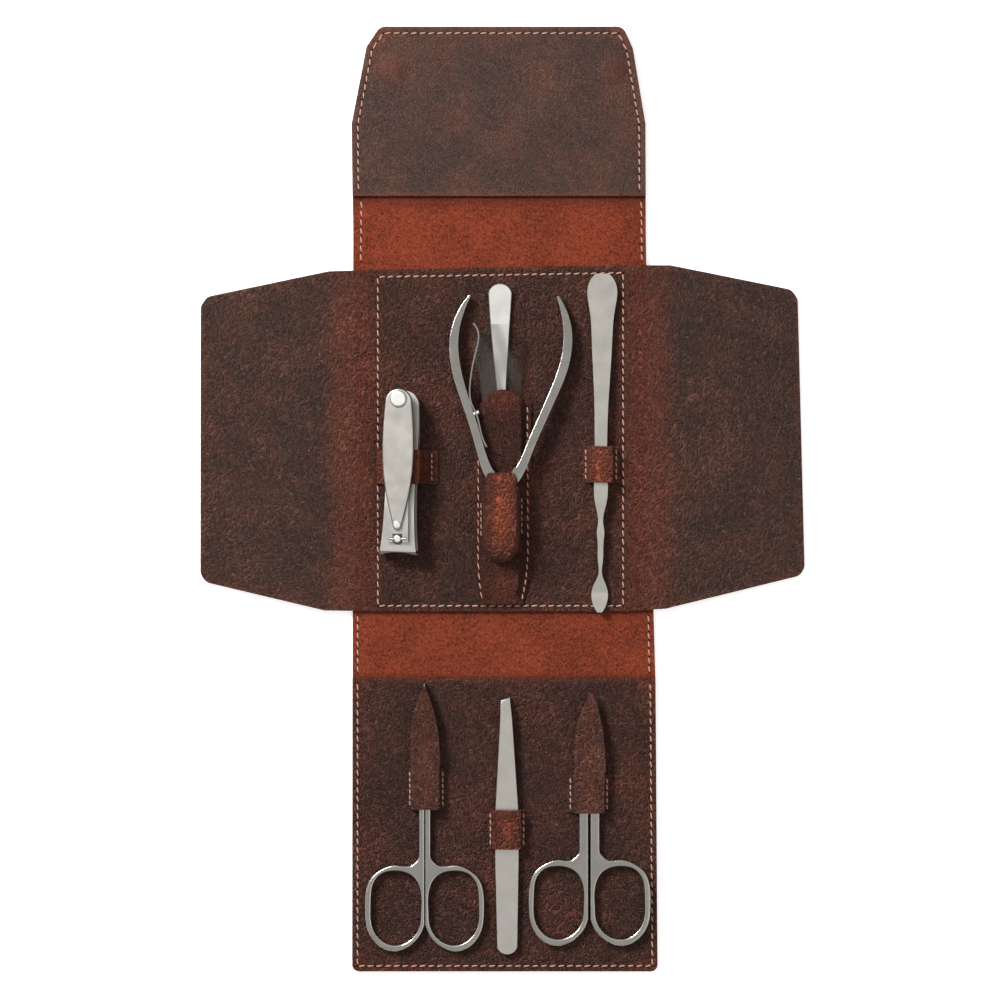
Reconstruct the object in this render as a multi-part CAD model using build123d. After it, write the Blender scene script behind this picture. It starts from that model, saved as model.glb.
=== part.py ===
from build123d import *
import math
import os

# Manicure set case, lying open on a table, with its seven tools in their loops.
# Millimetres. X runs across the case, Y from the lower panel to the flap, Z up.
# The origin is on the table, under the middle of the centre panel.

os.makedirs("parts", exist_ok=True)

# ---- driving dimensions ------------------------------------------------------------------
COVER_T = 1.2                     # outer leather strip
LINING_T = 0.6                    # suede lining glued on it
LEATHER_T = 1.2                   # inner leather sewn on the lining
STRAP_T = 1.0                     # leather of the straps, the pocket and the sheaths
FOLD_GAP = 0.1                    # each panel ends this far from its fold line

Z_LINING = COVER_T
Z_LEATHER = COVER_T + LINING_T
Z_TOP = Z_LEATHER + LEATHER_T     # the face that the tools lie on
Z_TOOL = Z_TOP + 0.25             # underside of the tools, clear of the leather

LOWER_FOLD = -59.6                # fold lines across the strip
LOWER_PANEL_FOLD = -82.6
UPPER_FOLD = 61.4
FLAP_FOLD = 85.4
LOWER_END = -185.2
GUSSET_FOLD = 43.5                # fold lines beside the centre panel, at plus and minus X
WING_FOLD = 58.0
WING_T = 1.1
GUSSET_Z = Z_TOP - WING_T
WING_DROP = 2.33                  # degrees: the wing slopes down to lie on the table

MAGNET_Y = FLAP_FOLD + 44.2
MAGNET_X = (-37.8, 39.2)
MAGNET_R = 3.5
PLATE_R = 4.0
PLATE_Y = LOWER_PANEL_FOLD - 76.8

CLIPPER_AT = (-34.4, -34.1, Z_TOP + 0.85)
CLIPPER_YAW = -1.9                # the clipper lies a little askew in its strap
CLIPPER_ROLL = -7.0               # and tips towards the left edge
LEVER_YAW = 1.3
NIPPER_AT = (1.05, -17.9)
NIPPER_TILT = -3.9                # the handles slope down to the leather
NIPPER_SPREAD = 4.0               # degrees that each half opens from closed
LEFT_SCISSORS = (-26.2, -118.7)
RIGHT_SCISSORS = (31.1, -119.5)
SCISSORS_LAYER = 1.2              # thickness of one blade
SCISSORS_T = 2.6                  # thickness of shanks and rings


# ---- helpers -----------------------------------------------------------------------------
def save(node, shape):
    """Write one node's solids to its own STEP file."""
    export_step(shape, f"parts/{node}.step")


def stops(curve, count):
    """Evenly spaced points along a curve in the XY plane, its two ends among them."""
    return [(p.X, p.Y) for p in (curve.position_at(i / (count - 1)) for i in range(count))]


def plate(points, low, high):
    """A flat piece with a straight-edged outline, between two heights."""
    return Pos(0, 0, low) * extrude(make_face(Polyline(*points, close=True)), amount=high - low)


def ribbon(points, widths, low, high):
    """A flat bar of changing width along a smooth centre line, with a round far end."""
    left, right = [], []
    for i, (x, y) in enumerate(points):
        x0, y0 = points[max(i - 1, 0)]
        x1, y1 = points[min(i + 1, len(points) - 1)]
        length = math.hypot(x1 - x0, y1 - y0)
        nx, ny = -(y1 - y0) / length, (x1 - x0) / length
        half = widths[i] / 2
        left.append((x + nx * half, y + ny * half))
        right.append((x - nx * half, y - ny * half))
    outline = [Spline(*left), Line(left[-1], right[-1]), Spline(*reversed(right)),
               Line(right[0], left[0])]
    return Pos(0, 0, low) * extrude(make_face(Wire(outline)), amount=high - low)


def disc(x, y, radius, low, high):
    """A round plate or bar standing on its end."""
    return Pos(x, y, low) * extrude(Circle(radius), amount=high - low)


def box(x, y, z):
    """A block between two X, two Y and two Z values."""
    size = Box(x[1] - x[0], y[1] - y[0], z[1] - z[0])
    return Pos((x[0] + x[1]) / 2, (y[0] + y[1]) / 2, (z[0] + z[1]) / 2) * size


def side_profile(points, half_width):
    """A profile in Y and Z, swept to both sides along X."""
    face = make_face(Polyline(*[(0, y, z) for y, z in points], close=True))
    return extrude(face, amount=half_width, dir=(1, 0, 0), both=True)


def rounded(shape, edges, radius):
    """Round the given edges; the last radius that the shape allows is taken."""
    for size in (radius, radius * 0.6, radius * 0.3):
        try:
            return fillet(edges, size)
        except Exception:
            continue
    return shape


def top_rounded(shape, radius):
    """Round the edges around the highest face."""
    return rounded(shape, shape.faces().sort_by(Axis.Z)[-1].edges(), radius)


def strap(x, wall, y, inner_top, flange_t=STRAP_T, wall_t=STRAP_T):
    """A leather loop: two sewn feet, two walls and a flat top over a tool."""
    points = [(x[0], Z_TOP), (wall[0], Z_TOP), (wall[0] + 0.3, inner_top - 0.3),
              (wall[0] + 0.6, inner_top), (wall[1] - 0.6, inner_top),
              (wall[1] - 0.3, inner_top - 0.3), (wall[1], Z_TOP), (x[1], Z_TOP),
              (x[1], Z_TOP + flange_t), (wall[1] + wall_t, Z_TOP + flange_t),
              (wall[1] + wall_t - 0.2, inner_top + STRAP_T - 0.8),
              (wall[1] - 0.2, inner_top + STRAP_T), (wall[0] + 0.2, inner_top + STRAP_T),
              (wall[0] - wall_t + 0.2, inner_top + STRAP_T - 0.8),
              (wall[0] - wall_t, Z_TOP + flange_t), (x[0], Z_TOP + flange_t)]
    face = make_face(Polyline(*[(px, y[0], pz) for px, pz in points], close=True))
    return extrude(face, amount=y[1] - y[0], dir=(0, 1, 0))


# ---- the folding strip: cover, lining and inner leather ----------------------------------
def centre_panel():
    """Middle of the strip, with the leather panel that carries the upper tools."""
    low, high = LOWER_FOLD + FOLD_GAP, UPPER_FOLD - FOLD_GAP
    outline = [(-51.6, low), (52.6, low), (51.4, high), (-51.4, high)]
    save("cover_centre", plate(outline, 0, Z_LINING))
    save("lining_centre", plate(outline, Z_LINING, Z_LEATHER))
    edge = GUSSET_FOLD - FOLD_GAP
    leather = [(-edge, low), (edge, low), (edge, high), (-edge, high - 1.6)]
    save("centre_leather", plate(leather, Z_LEATHER, Z_TOP))


def spines():
    """The two bare stretches of the strip that make the case's thickness."""
    lower = [(-51.5, LOWER_FOLD - FOLD_GAP), (-51.4, LOWER_PANEL_FOLD + FOLD_GAP),
             (53.9, LOWER_PANEL_FOLD + FOLD_GAP), (53.3, LOWER_FOLD - FOLD_GAP)]
    upper = [(-51.2, UPPER_FOLD + FOLD_GAP), (-51.2, FLAP_FOLD - FOLD_GAP),
             (50.9, FLAP_FOLD - FOLD_GAP), (51.0, UPPER_FOLD + FOLD_GAP)]
    for name, outline in (("lower_spine", lower), ("upper_spine", upper)):
        save(name + "_cover", plate(outline, 0, Z_LINING))
        save(name + "_lining", plate(outline, Z_LINING, Z_LEATHER))


def lower_panel():
    """Panel with the scissors and tweezers; steel plates for the magnets are sealed inside."""
    high = LOWER_PANEL_FOLD - FOLD_GAP
    outline = [(-51.6, high), (-51.6, LOWER_END), (55.0, LOWER_END), (54.3, high)]

    def layer(low_z, high_z):
        slab = plate(outline, low_z, high_z)
        corners = slab.edges().filter_by(Axis.Z).group_by(Axis.Y)[0]
        return rounded(slab, corners, 2.3)

    save("lower_cover", layer(0, Z_LINING))
    holes = [disc(x, PLATE_Y, PLATE_R, Z_LINING, Z_LEATHER) for x in MAGNET_X]
    save("lower_lining", layer(Z_LINING, Z_LEATHER) - holes)
    save("lower_leather", layer(Z_LEATHER, Z_TOP))
    plates = [disc(x, PLATE_Y, PLATE_R - 0.1, Z_LINING + 0.02, Z_LEATHER - 0.02)
              for x in MAGNET_X]
    save("catch_plates", Compound(children=plates))


def flap():
    """Closing flap; its two magnets show as low bumps in the leather."""
    base = FLAP_FOLD + FOLD_GAP
    outline = [(-51.5, base), (-51.8, 110.6), (-46.6, 137.6), (-41.9, 144.6), (43.0, 144.6),
               (46.4, 136.9), (50.8, 110.6), (50.9, base)]

    def layer(low_z, high_z):
        slab = plate(outline, low_z, high_z)
        corners = [e for e in slab.edges().filter_by(Axis.Z) if e.center().Y > 130]
        return rounded(slab, corners, 3.5)

    bump, pocket_top = 0.35, Z_LEATHER + 0.35
    save("flap_cover", layer(0, Z_LINING))
    holes = [disc(x, MAGNET_Y, MAGNET_R + 0.1, Z_LINING, Z_LEATHER) for x in MAGNET_X]
    save("flap_lining", layer(Z_LINING, Z_LEATHER) - holes)
    leather = layer(Z_LEATHER, Z_TOP)
    for x in MAGNET_X:
        crown = disc(x, MAGNET_Y, MAGNET_R + 1.0, Z_TOP - 0.2, Z_TOP + bump)
        leather += rounded(crown, crown.faces().sort_by(Axis.Z)[-1].edges(), 0.3)
    pockets = [disc(x, MAGNET_Y, MAGNET_R + 0.1, Z_LEATHER, pocket_top) for x in MAGNET_X]
    save("flap_leather", leather - pockets)
    magnets = [disc(x, MAGNET_Y, MAGNET_R, Z_LINING + 0.02, pocket_top - 0.02)
               for x in MAGNET_X]
    save("flap_magnets", Compound(children=magnets))


def wings():
    """Side gussets and wings, which fold in over the tools of the centre panel."""
    inner, outer = GUSSET_FOLD + FOLD_GAP, WING_FOLD - FOLD_GAP
    left_gusset = [(-inner, -59.5), (-inner, 59.6), (-outer, 59.3), (-outer, -59.3)]
    right_gusset = [(inner, -59.1), (outer, -58.6), (outer, 61.3), (inner, 61.3)]
    save("left_gusset", plate(left_gusset, GUSSET_Z, Z_TOP))
    save("right_gusset", plate(right_gusset, GUSSET_Z, Z_TOP))

    start = WING_FOLD + FOLD_GAP
    left_wing = [(-start, 59.2), (-59.8, 59.2), (-102.4, 50.4), (-104.65, 47.2),
                 (-104.75, -46.4), (-102.9, -49.4), (-61.3, -59.2), (-start, -59.3)]
    right_wing = [(start, -58.4), (66.0, -56.6), (104.9, -47.1), (106.5, -44.2), (104.1, 49.6),
                  (101.9, 52.9), (59.5, 61.3), (start, 61.4)]
    for name, outline, side in (("left_wing", left_wing, -1), ("right_wing", right_wing, 1)):
        flat = plate(outline, GUSSET_Z, Z_TOP)
        corners = [e for e in flat.edges().filter_by(Axis.Z) if abs(e.center().X) > 101]
        flat = rounded(flat, corners, 3.5)
        save(name, flat.rotate(Axis((side * WING_FOLD, 0, Z_TOP), (0, 1, 0)), side * WING_DROP))


# ---- pocket, sleeve, sheaths and straps --------------------------------------------------
SLEEVE_LOW, SLEEVE_HIGH = Z_TOP + 0.1, Z_TOP + 2.2
POCKET_INNER = Z_TOP + 2.45
POCKET_TOP = POCKET_INNER + STRAP_T
SLEEVE_OUTLINE = [(-5.6, -46.0), (-5.9, -30.0), (-6.1, 13.0), (-7.4, 22.6), (-9.2, 29.0),
                  (-9.2, 34.0), (-7.2, 38.0), (-3.4, 40.7), (3.6, 40.7), (7.5, 37.0),
                  (9.0, 34.0), (8.5, 29.3), (7.2, 16.5), (7.0, 13.0), (6.9, -30.0),
                  (6.6, -46.0)]


def file_pocket():
    """Raised leather pocket with a rounded tongue at its mouth."""
    block = strap((-8.5, 10.9), (-6.4, 7.4), (-57.0, 18.3), POCKET_INNER, STRAP_T, 0.9)
    tongue = [(-8.5, 12.6), (-5.7, 13.2), (-3.6, 16.4), (0.7, 18.2), (5.2, 16.6), (7.9, 13.2),
              (10.9, 13.8)]
    mouth = [Line((-8.5, -40.0), tongue[0]), Line(tongue[0], tongue[1]),
             Spline(*tongue[1:6]), Line(tongue[5], tongue[6]), Line(tongue[6], (10.9, -40.0)),
             Spline((10.9, -40.0), (10.2, -49.0), (8.2, -57.0)), Line((8.2, -57.0), (-6.8, -57.0)),
             Spline((-6.8, -57.0), (-8.1, -49.0), (-8.5, -40.0))]
    plan = extrude(make_face(Wire(mouth)), amount=20)
    bottom = box((-8.4, 10.8), (-57.0, -51.5), (Z_TOP, POCKET_TOP)) & plan
    save("file_pocket", (block & plan) + bottom)


def file_sleeve():
    """Clear plastic sleeve that the nail file slides in, open at the top."""
    outer = plate(SLEEVE_OUTLINE, SLEEVE_LOW, SLEEVE_HIGH)
    face = make_face(Polyline(*SLEEVE_OUTLINE, close=True))
    inner = extrude(offset(face, -0.3), amount=SLEEVE_HIGH - SLEEVE_LOW - 0.5)
    mouth = box((-6.8, 7.1), (37.0, 42.0), (SLEEVE_LOW + 0.25, SLEEVE_HIGH - 0.25))
    save("file_sleeve", outer - Pos(0, 0, SLEEVE_LOW + 0.25) * inner - mouth)


COVER_CENTRE_X, COVER_HALF = 0.45, 6.55
COVER_LOW = POCKET_TOP + 0.02
COVER_INNER = 13.75


def nipper_cover():
    """Moulded leather cap over the nipper's jaws, sewn on the file pocket."""
    def loaf(half, top_y, bottom_y, low, high):
        x0, x1 = COVER_CENTRE_X - half, COVER_CENTRE_X + half
        bend = half * 0.9
        outline = [Line((x0, bottom_y + bend), (x0, top_y - 5.0)),
                   ThreePointArc((x0, top_y - 5.0), (COVER_CENTRE_X, top_y), (x1, top_y - 5.0)),
                   Line((x1, top_y - 5.0), (x1, bottom_y + bend)),
                   ThreePointArc((x1, bottom_y + bend), (COVER_CENTRE_X, bottom_y),
                                 (x0, bottom_y + bend))]
        return Pos(0, 0, low) * extrude(make_face(Wire(outline)), amount=high - low)

    outer = loaf(COVER_HALF, -11.2, -42.6, COVER_LOW, COVER_INNER + STRAP_T)
    outer = top_rounded(outer, 1.6)
    inner = loaf(COVER_HALF - STRAP_T, -9.0, -41.6, COVER_LOW - 1, COVER_INNER)
    mouth = box((-8, 9), (-17.2, -5), (COVER_LOW - 1, COVER_INNER - 0.8))
    save("nipper_cover", outer - inner - mouth)


def small_straps():
    """Loops for the pusher and the tweezers."""
    save("pusher_strap", strap((29.05, 41.4), (31.5, 38.6), (-14.6, -1.9), Z_TOP + 4.2))
    save("tweezer_strap", strap((-3.7, 8.6), (-2.15, 6.95), (-142.2, -128.6), Z_TOP + 3.7,
                                STRAP_T, 0.8))


def sheaths():
    """Scissors sheaths: a sewn loop that runs on as a loose leaf over the blades."""
    roof = Z_TOP + 3.2
    left_leaf = [(-31.2, -115.0), (-31.0, -108.6), (-31.1, -101.9), (-30.7, -97.6),
                 (-29.0, -91.2), (-26.2, -85.7), (-24.4, -89.5), (-22.4, -96.2),
                 (-21.2, -102.9), (-20.7, -110.3), (-20.6, -115.0)]
    right_leaf = [(25.8, -117.0), (26.0, -108.6), (26.4, -100.2), (28.4, -93.6),
                  (31.8, -87.9), (33.7, -91.2), (35.5, -98.9), (36.5, -106.9),
                  (36.9, -117.0)]
    for name, feet, wall, span, leaf in (
            ("left_sheath", (-31.9, -19.3), (-30.3, -21.5), (-128.4, -114.3), left_leaf),
            ("right_sheath", (23.5, 38.0), (26.6, 35.9), (-129.7, -116.5), right_leaf)):
        loop = strap(feet, wall, span, roof, STRAP_T, 0.8)
        tongue = Pos(0, 0, roof) * extrude(
            make_face(Wire([Spline(*leaf), Line(leaf[-1], leaf[0])])), amount=STRAP_T)
        save(name, loop + tongue)


# ---- nail clipper ------------------------------------------------------------------------
JAW_T, JAW_TOP, TAIL_Z = 1.2, 7.4, 2.9
CLIPPER_PLACE = Pos(*CLIPPER_AT) * Rot(0, 0, CLIPPER_YAW) * Rot(0, CLIPPER_ROLL, 0)
TAIL_Y = 48.6
AXLE_Z = 8.65


def jaw_outline():
    """Plan of both clipper jaws: wide cutting end, slim neck, round tail."""
    edge = [Spline((-6.45, -5.6), (-5.9, -1.0), (-5.3, 8.0), (-5.2, 20.0), (-5.6, 34.0),
                   (-5.2, 46.5)),
            ThreePointArc((-5.2, 46.5), (0, 51.5), (5.2, 46.5)),
            Spline((5.2, 46.5), (5.6, 34.0), (5.2, 20.0), (5.3, 8.0), (5.9, -1.0),
                   (6.45, -5.6)),
            ThreePointArc((6.45, -5.6), (0, -4.7), (-6.45, -5.6))]
    return Pos(0, 0, -1) * extrude(make_face(Wire(edge)), amount=14)


def clipper_body():
    """The two sprung jaws and the rivet that joins them at the tail."""
    lower = [(52.0, TAIL_Z - JAW_T), (10.0, 0.0), (-4.4, 0.0), (-5.8, 1.2), (-5.8, 3.0),
             (-5.1, 3.0), (-4.0, JAW_T), (10.0, JAW_T), (52.0, TAIL_Z)]
    upper = [(52.0, TAIL_Z + 0.05), (10.0, JAW_TOP - JAW_T), (-4.0, JAW_TOP - JAW_T),
             (-5.1, 4.4), (-5.8, 4.4), (-5.8, JAW_TOP - 1.2), (-4.4, JAW_TOP),
             (10.0, JAW_TOP), (52.0, TAIL_Z + JAW_T)]
    lower_jaw = side_profile(lower, 8) & jaw_outline()
    upper_jaw = side_profile(upper, 8) & jaw_outline()
    lower_jaw -= [disc(0, 0, 1.6, -1, 3), disc(0, 0, 2.8, -1, 0.5),
                  disc(0, TAIL_Y, 1.0, 0, 5)]
    upper_jaw -= [disc(0, 0, 2.1, 5, 9), disc(0, TAIL_Y, 1.15, 0, 6)]
    rivet = disc(0, TAIL_Y, 0.97, 1.1, 4.9)
    rivet += disc(0, TAIL_Y, 1.9, 4.65, 5.0) + disc(0, TAIL_Y, 1.9, 1.05, 1.45)
    save("clipper_lower_jaw", CLIPPER_PLACE * lower_jaw)
    save("clipper_upper_jaw", CLIPPER_PLACE * upper_jaw)
    save("clipper_tail_rivet", CLIPPER_PLACE * rivet)


def clipper_lever():
    """Turning pin with its axle, and the lever of two plates riveted together."""
    pin = disc(0, 0, 1.3, 0.06, 9.3) + disc(0, 0, 2.6, 0.06, 0.42)
    pin += Pos(0, 0, AXLE_Z) * Rot(0, 90, 0) * Cylinder(0.38, 6.0)
    pin = rounded(pin, pin.faces().sort_by(Axis.Z)[-1].edges(), 0.4)

    under_z, thumb_z = AXLE_Z - 0.45, AXLE_Z + 0.45
    under = plate([(-3.7, -1.1), (3.7, -1.1), (3.7, 20.0), (4.3, 34.0), (3.9, 48.0),
                   (1.8, 51.0), (-1.8, 51.0), (-3.9, 48.0), (-4.3, 34.0), (-3.7, 20.0)],
                  under_z, thumb_z)
    under -= [box((-1.7, 1.7), (-2, 1.75), (under_z - 1, thumb_z + 1)),
              box((-3.2, 3.2), (-0.5, 0.5), (under_z - 1, thumb_z + 1))]
    thumb_edge = [Spline((-1.3, 3.6), (-2.6, 9.0), (-4.5, 18.0), (-5.5, 30.0), (-5.2, 41.0),
                         (-4.6, 48.0)),
                  ThreePointArc((-4.6, 48.0), (0, 52.0), (4.6, 48.0)),
                  Spline((4.6, 48.0), (5.2, 41.0), (5.5, 30.0), (4.5, 18.0), (2.6, 9.0),
                         (1.3, 3.6)),
                  ThreePointArc((1.3, 3.6), (0, 2.9), (-1.3, 3.6))]
    thumb = Pos(0, 0, thumb_z) * extrude(make_face(Wire(thumb_edge)), amount=1.2)
    thumb = top_rounded(thumb, 0.6)
    top = thumb_z + 1.2
    dome = disc(0, 48.4, 3.0, top, top + 0.9)
    dome = top_rounded(dome, 0.8)
    small = top_rounded(disc(0, 4.9, 1.3, top, top + 0.45), 0.3)
    lever_place = CLIPPER_PLACE * Rot(0, 0, LEVER_YAW)
    save("clipper_pin", lever_place * pin)
    save("lever_under_plate", lever_place * under)
    save("lever_thumb_plate", lever_place * thumb)
    save("lever_rivets", Compound(children=[lever_place * dome, lever_place * small]))


def clipper_strap():
    """Strap over the clipper's jaws and under its lever, following the tipped tool."""
    y0, y1 = 19.0, 30.9
    inner_x, inner_z = 6.0, 6.95
    outer_z = inner_z + 0.85
    hoop = box((-inner_x - 0.9, inner_x + 0.9), (y0, y1), (-4, outer_z))
    sides = hoop.edges().filter_by(Axis.Y).group_by(Axis.Z)[-1]
    hoop = rounded(hoop, sides, 1.2)
    inner = box((-inner_x, inner_x), (y0 - 1, y1 + 1), (-5, inner_z))
    hoop = CLIPPER_PLACE * (hoop - inner)
    hoop -= box((-60, 0), (-40, 20), (-10, Z_TOP))
    feet = [box((-42.9, -40.3), (-15.1, -3.2), (Z_TOP, Z_TOP + 0.9)),
            box((-27.4, -21.7), (-15.1, -3.2), (Z_TOP, Z_TOP + STRAP_T))]
    save("clipper_strap", hoop + feet[0] + feet[1])


# ---- nail file and cuticle pusher --------------------------------------------------------
def nail_file():
    """Flat steel file: paddle handle, slim neck, pointed blade."""
    left = Spline((-4.05, 51.3), (-3.0, 36.4), (-2.05, 26.4), (-1.2, 18.0), (-1.3, 11.0),
                  (-3.1, 4.0), (-3.2, -10.0), (-2.6, -35.0), (-0.4, -44.8))
    right = Spline((1.9, -44.8), (4.1, -35.0), (4.7, -10.0), (4.6, 4.0), (2.7, 11.0),
                   (2.15, 18.0), (2.6, 26.4), (3.2, 36.4), (4.15, 51.3))
    top = ThreePointArc((4.15, 51.3), (0.05, 54.8), (-4.05, 51.3))
    outline = [*stops(left, 28), *stops(right, 28), *stops(top, 14)[1:-1]]
    blank = plate(outline, Z_TOP + 0.6, Z_TOP + 1.7)
    save("nail_file", chamfer(blank.faces().sort_by(Axis.Z)[-1].edges(), 0.25))


def cuticle_pusher():
    """Pusher: flat paddle handle that runs into a round neck and a spoon."""
    centre = [(34.7, -59.8), (34.72, -56.5), (34.75, -53.0), (34.8, -49.5), (34.9, -46.6),
              (34.95, -42.0), (35.0, -35.0), (35.0, -31.8), (35.0, -28.5), (35.0, -24.6),
              (35.05, -21.0), (35.1, -10.0), (35.1, 0.0), (35.2, 9.4), (35.4, 21.4),
              (35.5, 33.5), (35.6, 45.0), (35.65, 54.0), (35.65, 58.2)]
    width = [1.6, 5.0, 5.7, 3.6, 1.3, 1.7, 2.1, 2.6, 1.75, 2.6, 4.2, 4.3, 4.3, 4.6, 5.7, 7.0,
             8.6, 9.9, 4.6]
    plan = ribbon(centre, width, 0, 20)
    thick = [(-60.5, 1.4, 2.2), (-53.0, 0.3, 1.0), (-46.6, 0.9, 2.2), (-36.0, 0.8, 2.9),
             (-31.8, 0.6, 3.2), (-28.0, 0.9, 2.8), (-22.0, 0.2, 3.7), (5.0, 0.2, 3.7),
             (24.0, 0.2, 2.6), (59.0, 0.2, 1.9)]
    low = [(y, Z_TOP + 0.25 + z) for y, z, _ in thick]
    high = [(y, Z_TOP + 0.25 + z) for y, _, z in reversed(thick)]
    side = Pos(35, 0, 0) * side_profile(low + high, 15)
    save("cuticle_pusher", plan & side)


# ---- cuticle nipper ----------------------------------------------------------------------
NIPPER_Z = COVER_LOW + 0.8                      # underside of the lower lap
NIPPER_LAP = 2.3
NIPPER_T = 2 * NIPPER_LAP + 0.1
NIPPER_PLACE = Pos(NIPPER_AT[0], NIPPER_AT[1], NIPPER_Z) * Rot(NIPPER_TILT, 0, 0)
LEFT_HANDLE = [(-2.4, 3.4), (-4.95, 6.6), (-7.4, 13.0), (-9.4, 20.0), (-11.0, 25.3),
               (-13.45, 32.6), (-15.75, 40.5), (-16.95, 47.7), (-17.05, 52.6), (-15.15, 61.3),
               (-11.55, 68.3)]
RIGHT_HANDLE = [(2.4, 3.0), (4.75, 5.6), (7.6, 11.0), (10.6, 18.4), (13.65, 25.3),
                (17.35, 33.7), (20.55, 41.7), (22.25, 49.1), (22.55, 54.3), (21.45, 61.7),
                (19.05, 68.0)]
HANDLE_WIDTH = [3.8, 3.6, 3.1, 3.0, 3.0, 3.1, 3.3, 3.3, 3.2, 2.4, 0.9]


def nipper_half(handle, side, lap_low):
    """One half: handle on one side, lap disc at the pivot, jaw on the other side."""
    lap_high = lap_low + NIPPER_LAP
    mid = NIPPER_T / 2
    bar = ribbon(handle, HANDLE_WIDTH, mid - 1.5, mid + 1.5)
    long_edges = bar.edges().filter_by(lambda e: e.length > 30)
    bar = rounded(bar, long_edges, 1.0)
    bar -= disc(0, 0, 4.85, -1, NIPPER_T + 1)
    lap = disc(0, 0, 4.6, lap_low, lap_high)
    bridge = plate([(side * 0.2, 1.5), (side * 4.2, 1.5), (side * 6.2, 8.6), (side * 3.9, 8.2)],
                   max(lap_low, mid - 1.5), min(lap_high, mid + 1.5))
    jaw_side = -side
    face_x = 0.1
    jaw = plate([(jaw_side * face_x, -5.1), (jaw_side * 4.1, -5.1), (jaw_side * 3.9, -12.0),
                 (jaw_side * 2.6, -19.0), (jaw_side * 0.9, -22.0), (jaw_side * face_x, -22.0)],
                0, NIPPER_T)
    root = plate([(jaw_side * face_x, 0), (jaw_side * 4.3, 0), (jaw_side * 4.1, -6.0),
                  (jaw_side * face_x, -6.0)], lap_low, lap_high)
    spread = Rot(0, 0, jaw_side * NIPPER_SPREAD)
    half = lap + bar + bridge + spread * (jaw + root)
    return half - disc(0, 0, 1.55, -1, NIPPER_T + 1)


def cuticle_nipper():
    """Lap-jointed nipper with a leaf spring between its handles."""
    upper_lap = NIPPER_LAP + 0.1
    save("nipper_left_half", NIPPER_PLACE * nipper_half(LEFT_HANDLE, -1, 0.0))
    save("nipper_right_half", NIPPER_PLACE * nipper_half(RIGHT_HANDLE, 1, upper_lap))
    screw = disc(0, 0, 1.5, -0.1, NIPPER_T + 0.1)
    screw += top_rounded(disc(0, 0, 2.7, NIPPER_T + 0.08, NIPPER_T + 0.6), 0.2)
    screw += disc(0, 0, 2.2, -0.28, -0.06)
    save("nipper_screw", NIPPER_PLACE * screw)
    leaf_line = [(-5.65, 15.4), (-7.7, 20.6), (-9.2, 26.6), (-11.1, 31.0), (-11.5, 37.0),
                 (-10.9, 42.0), (-9.4, 49.0), (-8.5, 54.4), (-10.4, 58.6)]
    leaf = ribbon(leaf_line, [0.5] * len(leaf_line), 2.3, 3.9)
    screw_dir = Rot(0, 0, 24) * Rot(0, 90, 0)
    tension = Pos(-10.0, 27.0, 3.1) * screw_dir * Cylinder(0.75, 3.4)
    save("nipper_spring", NIPPER_PLACE * leaf)
    save("nipper_spring_screw", NIPPER_PLACE * tension)


# ---- scissors ----------------------------------------------------------------------------
SCISSORS_NECK_Y = -3.4            # the full thickness of the shank starts here
HUB_R = 3.0
RING_ROUNDING = 0.64
# Finger ring as shares of its own width and height, from the side by the other ring, under
# the ring and up to its top, and the finger hole as shares of its own box.
RING_EDGE = [(0.0, 0.31), (0.078, 0.184), (0.28, 0.051), (0.516, 0.0), (0.762, 0.059),
             (0.874, 0.137), (0.953, 0.238), (1.0, 0.5), (0.975, 0.738), (0.93, 0.824),
             (0.841, 0.902), (0.729, 0.957), (0.583, 1.0), (0.4, 1.0)]
RING_HOLE = [(0.0, 0.486), (0.014, 0.73), (0.135, 0.905), (0.257, 0.964), (0.527, 1.0),
             (0.797, 0.955), (0.905, 0.884), (0.955, 0.82), (0.989, 0.695), (1.0, 0.5),
             (0.986, 0.295), (0.932, 0.186), (0.824, 0.086), (0.554, 0.0), (0.257, 0.05),
             (0.135, 0.123), (0.014, 0.305)]


def flat_edges(shape, high_y):
    """The edges that lie level and below the given Y."""
    return [e for e in shape.edges() if abs(e.tangent_at(0.5).Z) < 0.5 and e.center().Y < high_y]


def scissors_handle(side, ring, wire, shank_w, gap):
    """Shank and finger ring of one half as one plate, on the given side of the centre line."""
    inner, outer, bottom, top = gap / 2, *ring
    shank = inner + shank_w

    def spread(shares, x0, x1, y0, y1):
        return [(side * (x0 + u * (x1 - x0)), y0 + v * (y1 - y0)) for u, v in shares]

    edge = spread(RING_EDGE, inner, outer, bottom, top)
    flare = [edge[-1], (side * (shank + 2.5), top + 0.25), (side * (shank + 0.7), top + 1.9),
             (side * shank, top + 4.8)]
    outline = [Line((side * inner, SCISSORS_NECK_Y), edge[0]),
               Spline(*edge), Spline(*flare, tangents=[(-side, 0), (0, 1)]),
               Line(flare[-1], (side * shank, SCISSORS_NECK_Y)),
               Line((side * shank, SCISSORS_NECK_Y), (side * inner, SCISSORS_NECK_Y))]
    blank = extrude(make_face(Wire(outline)), amount=SCISSORS_T)
    blank = rounded(blank, flat_edges(blank, SCISSORS_NECK_Y - 0.1), RING_ROUNDING)
    wire_in, wire_out, wire_low, wire_top = wire
    hole = spread(RING_HOLE, inner + wire_in, outer - wire_out, bottom + wire_low, top - wire_top)
    blank -= extrude(make_face(Spline(*hole, periodic=True)), amount=SCISSORS_T)
    return rounded(blank, blank.edges().filter_by(lambda e: e.is_closed), RING_ROUNDING)


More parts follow.
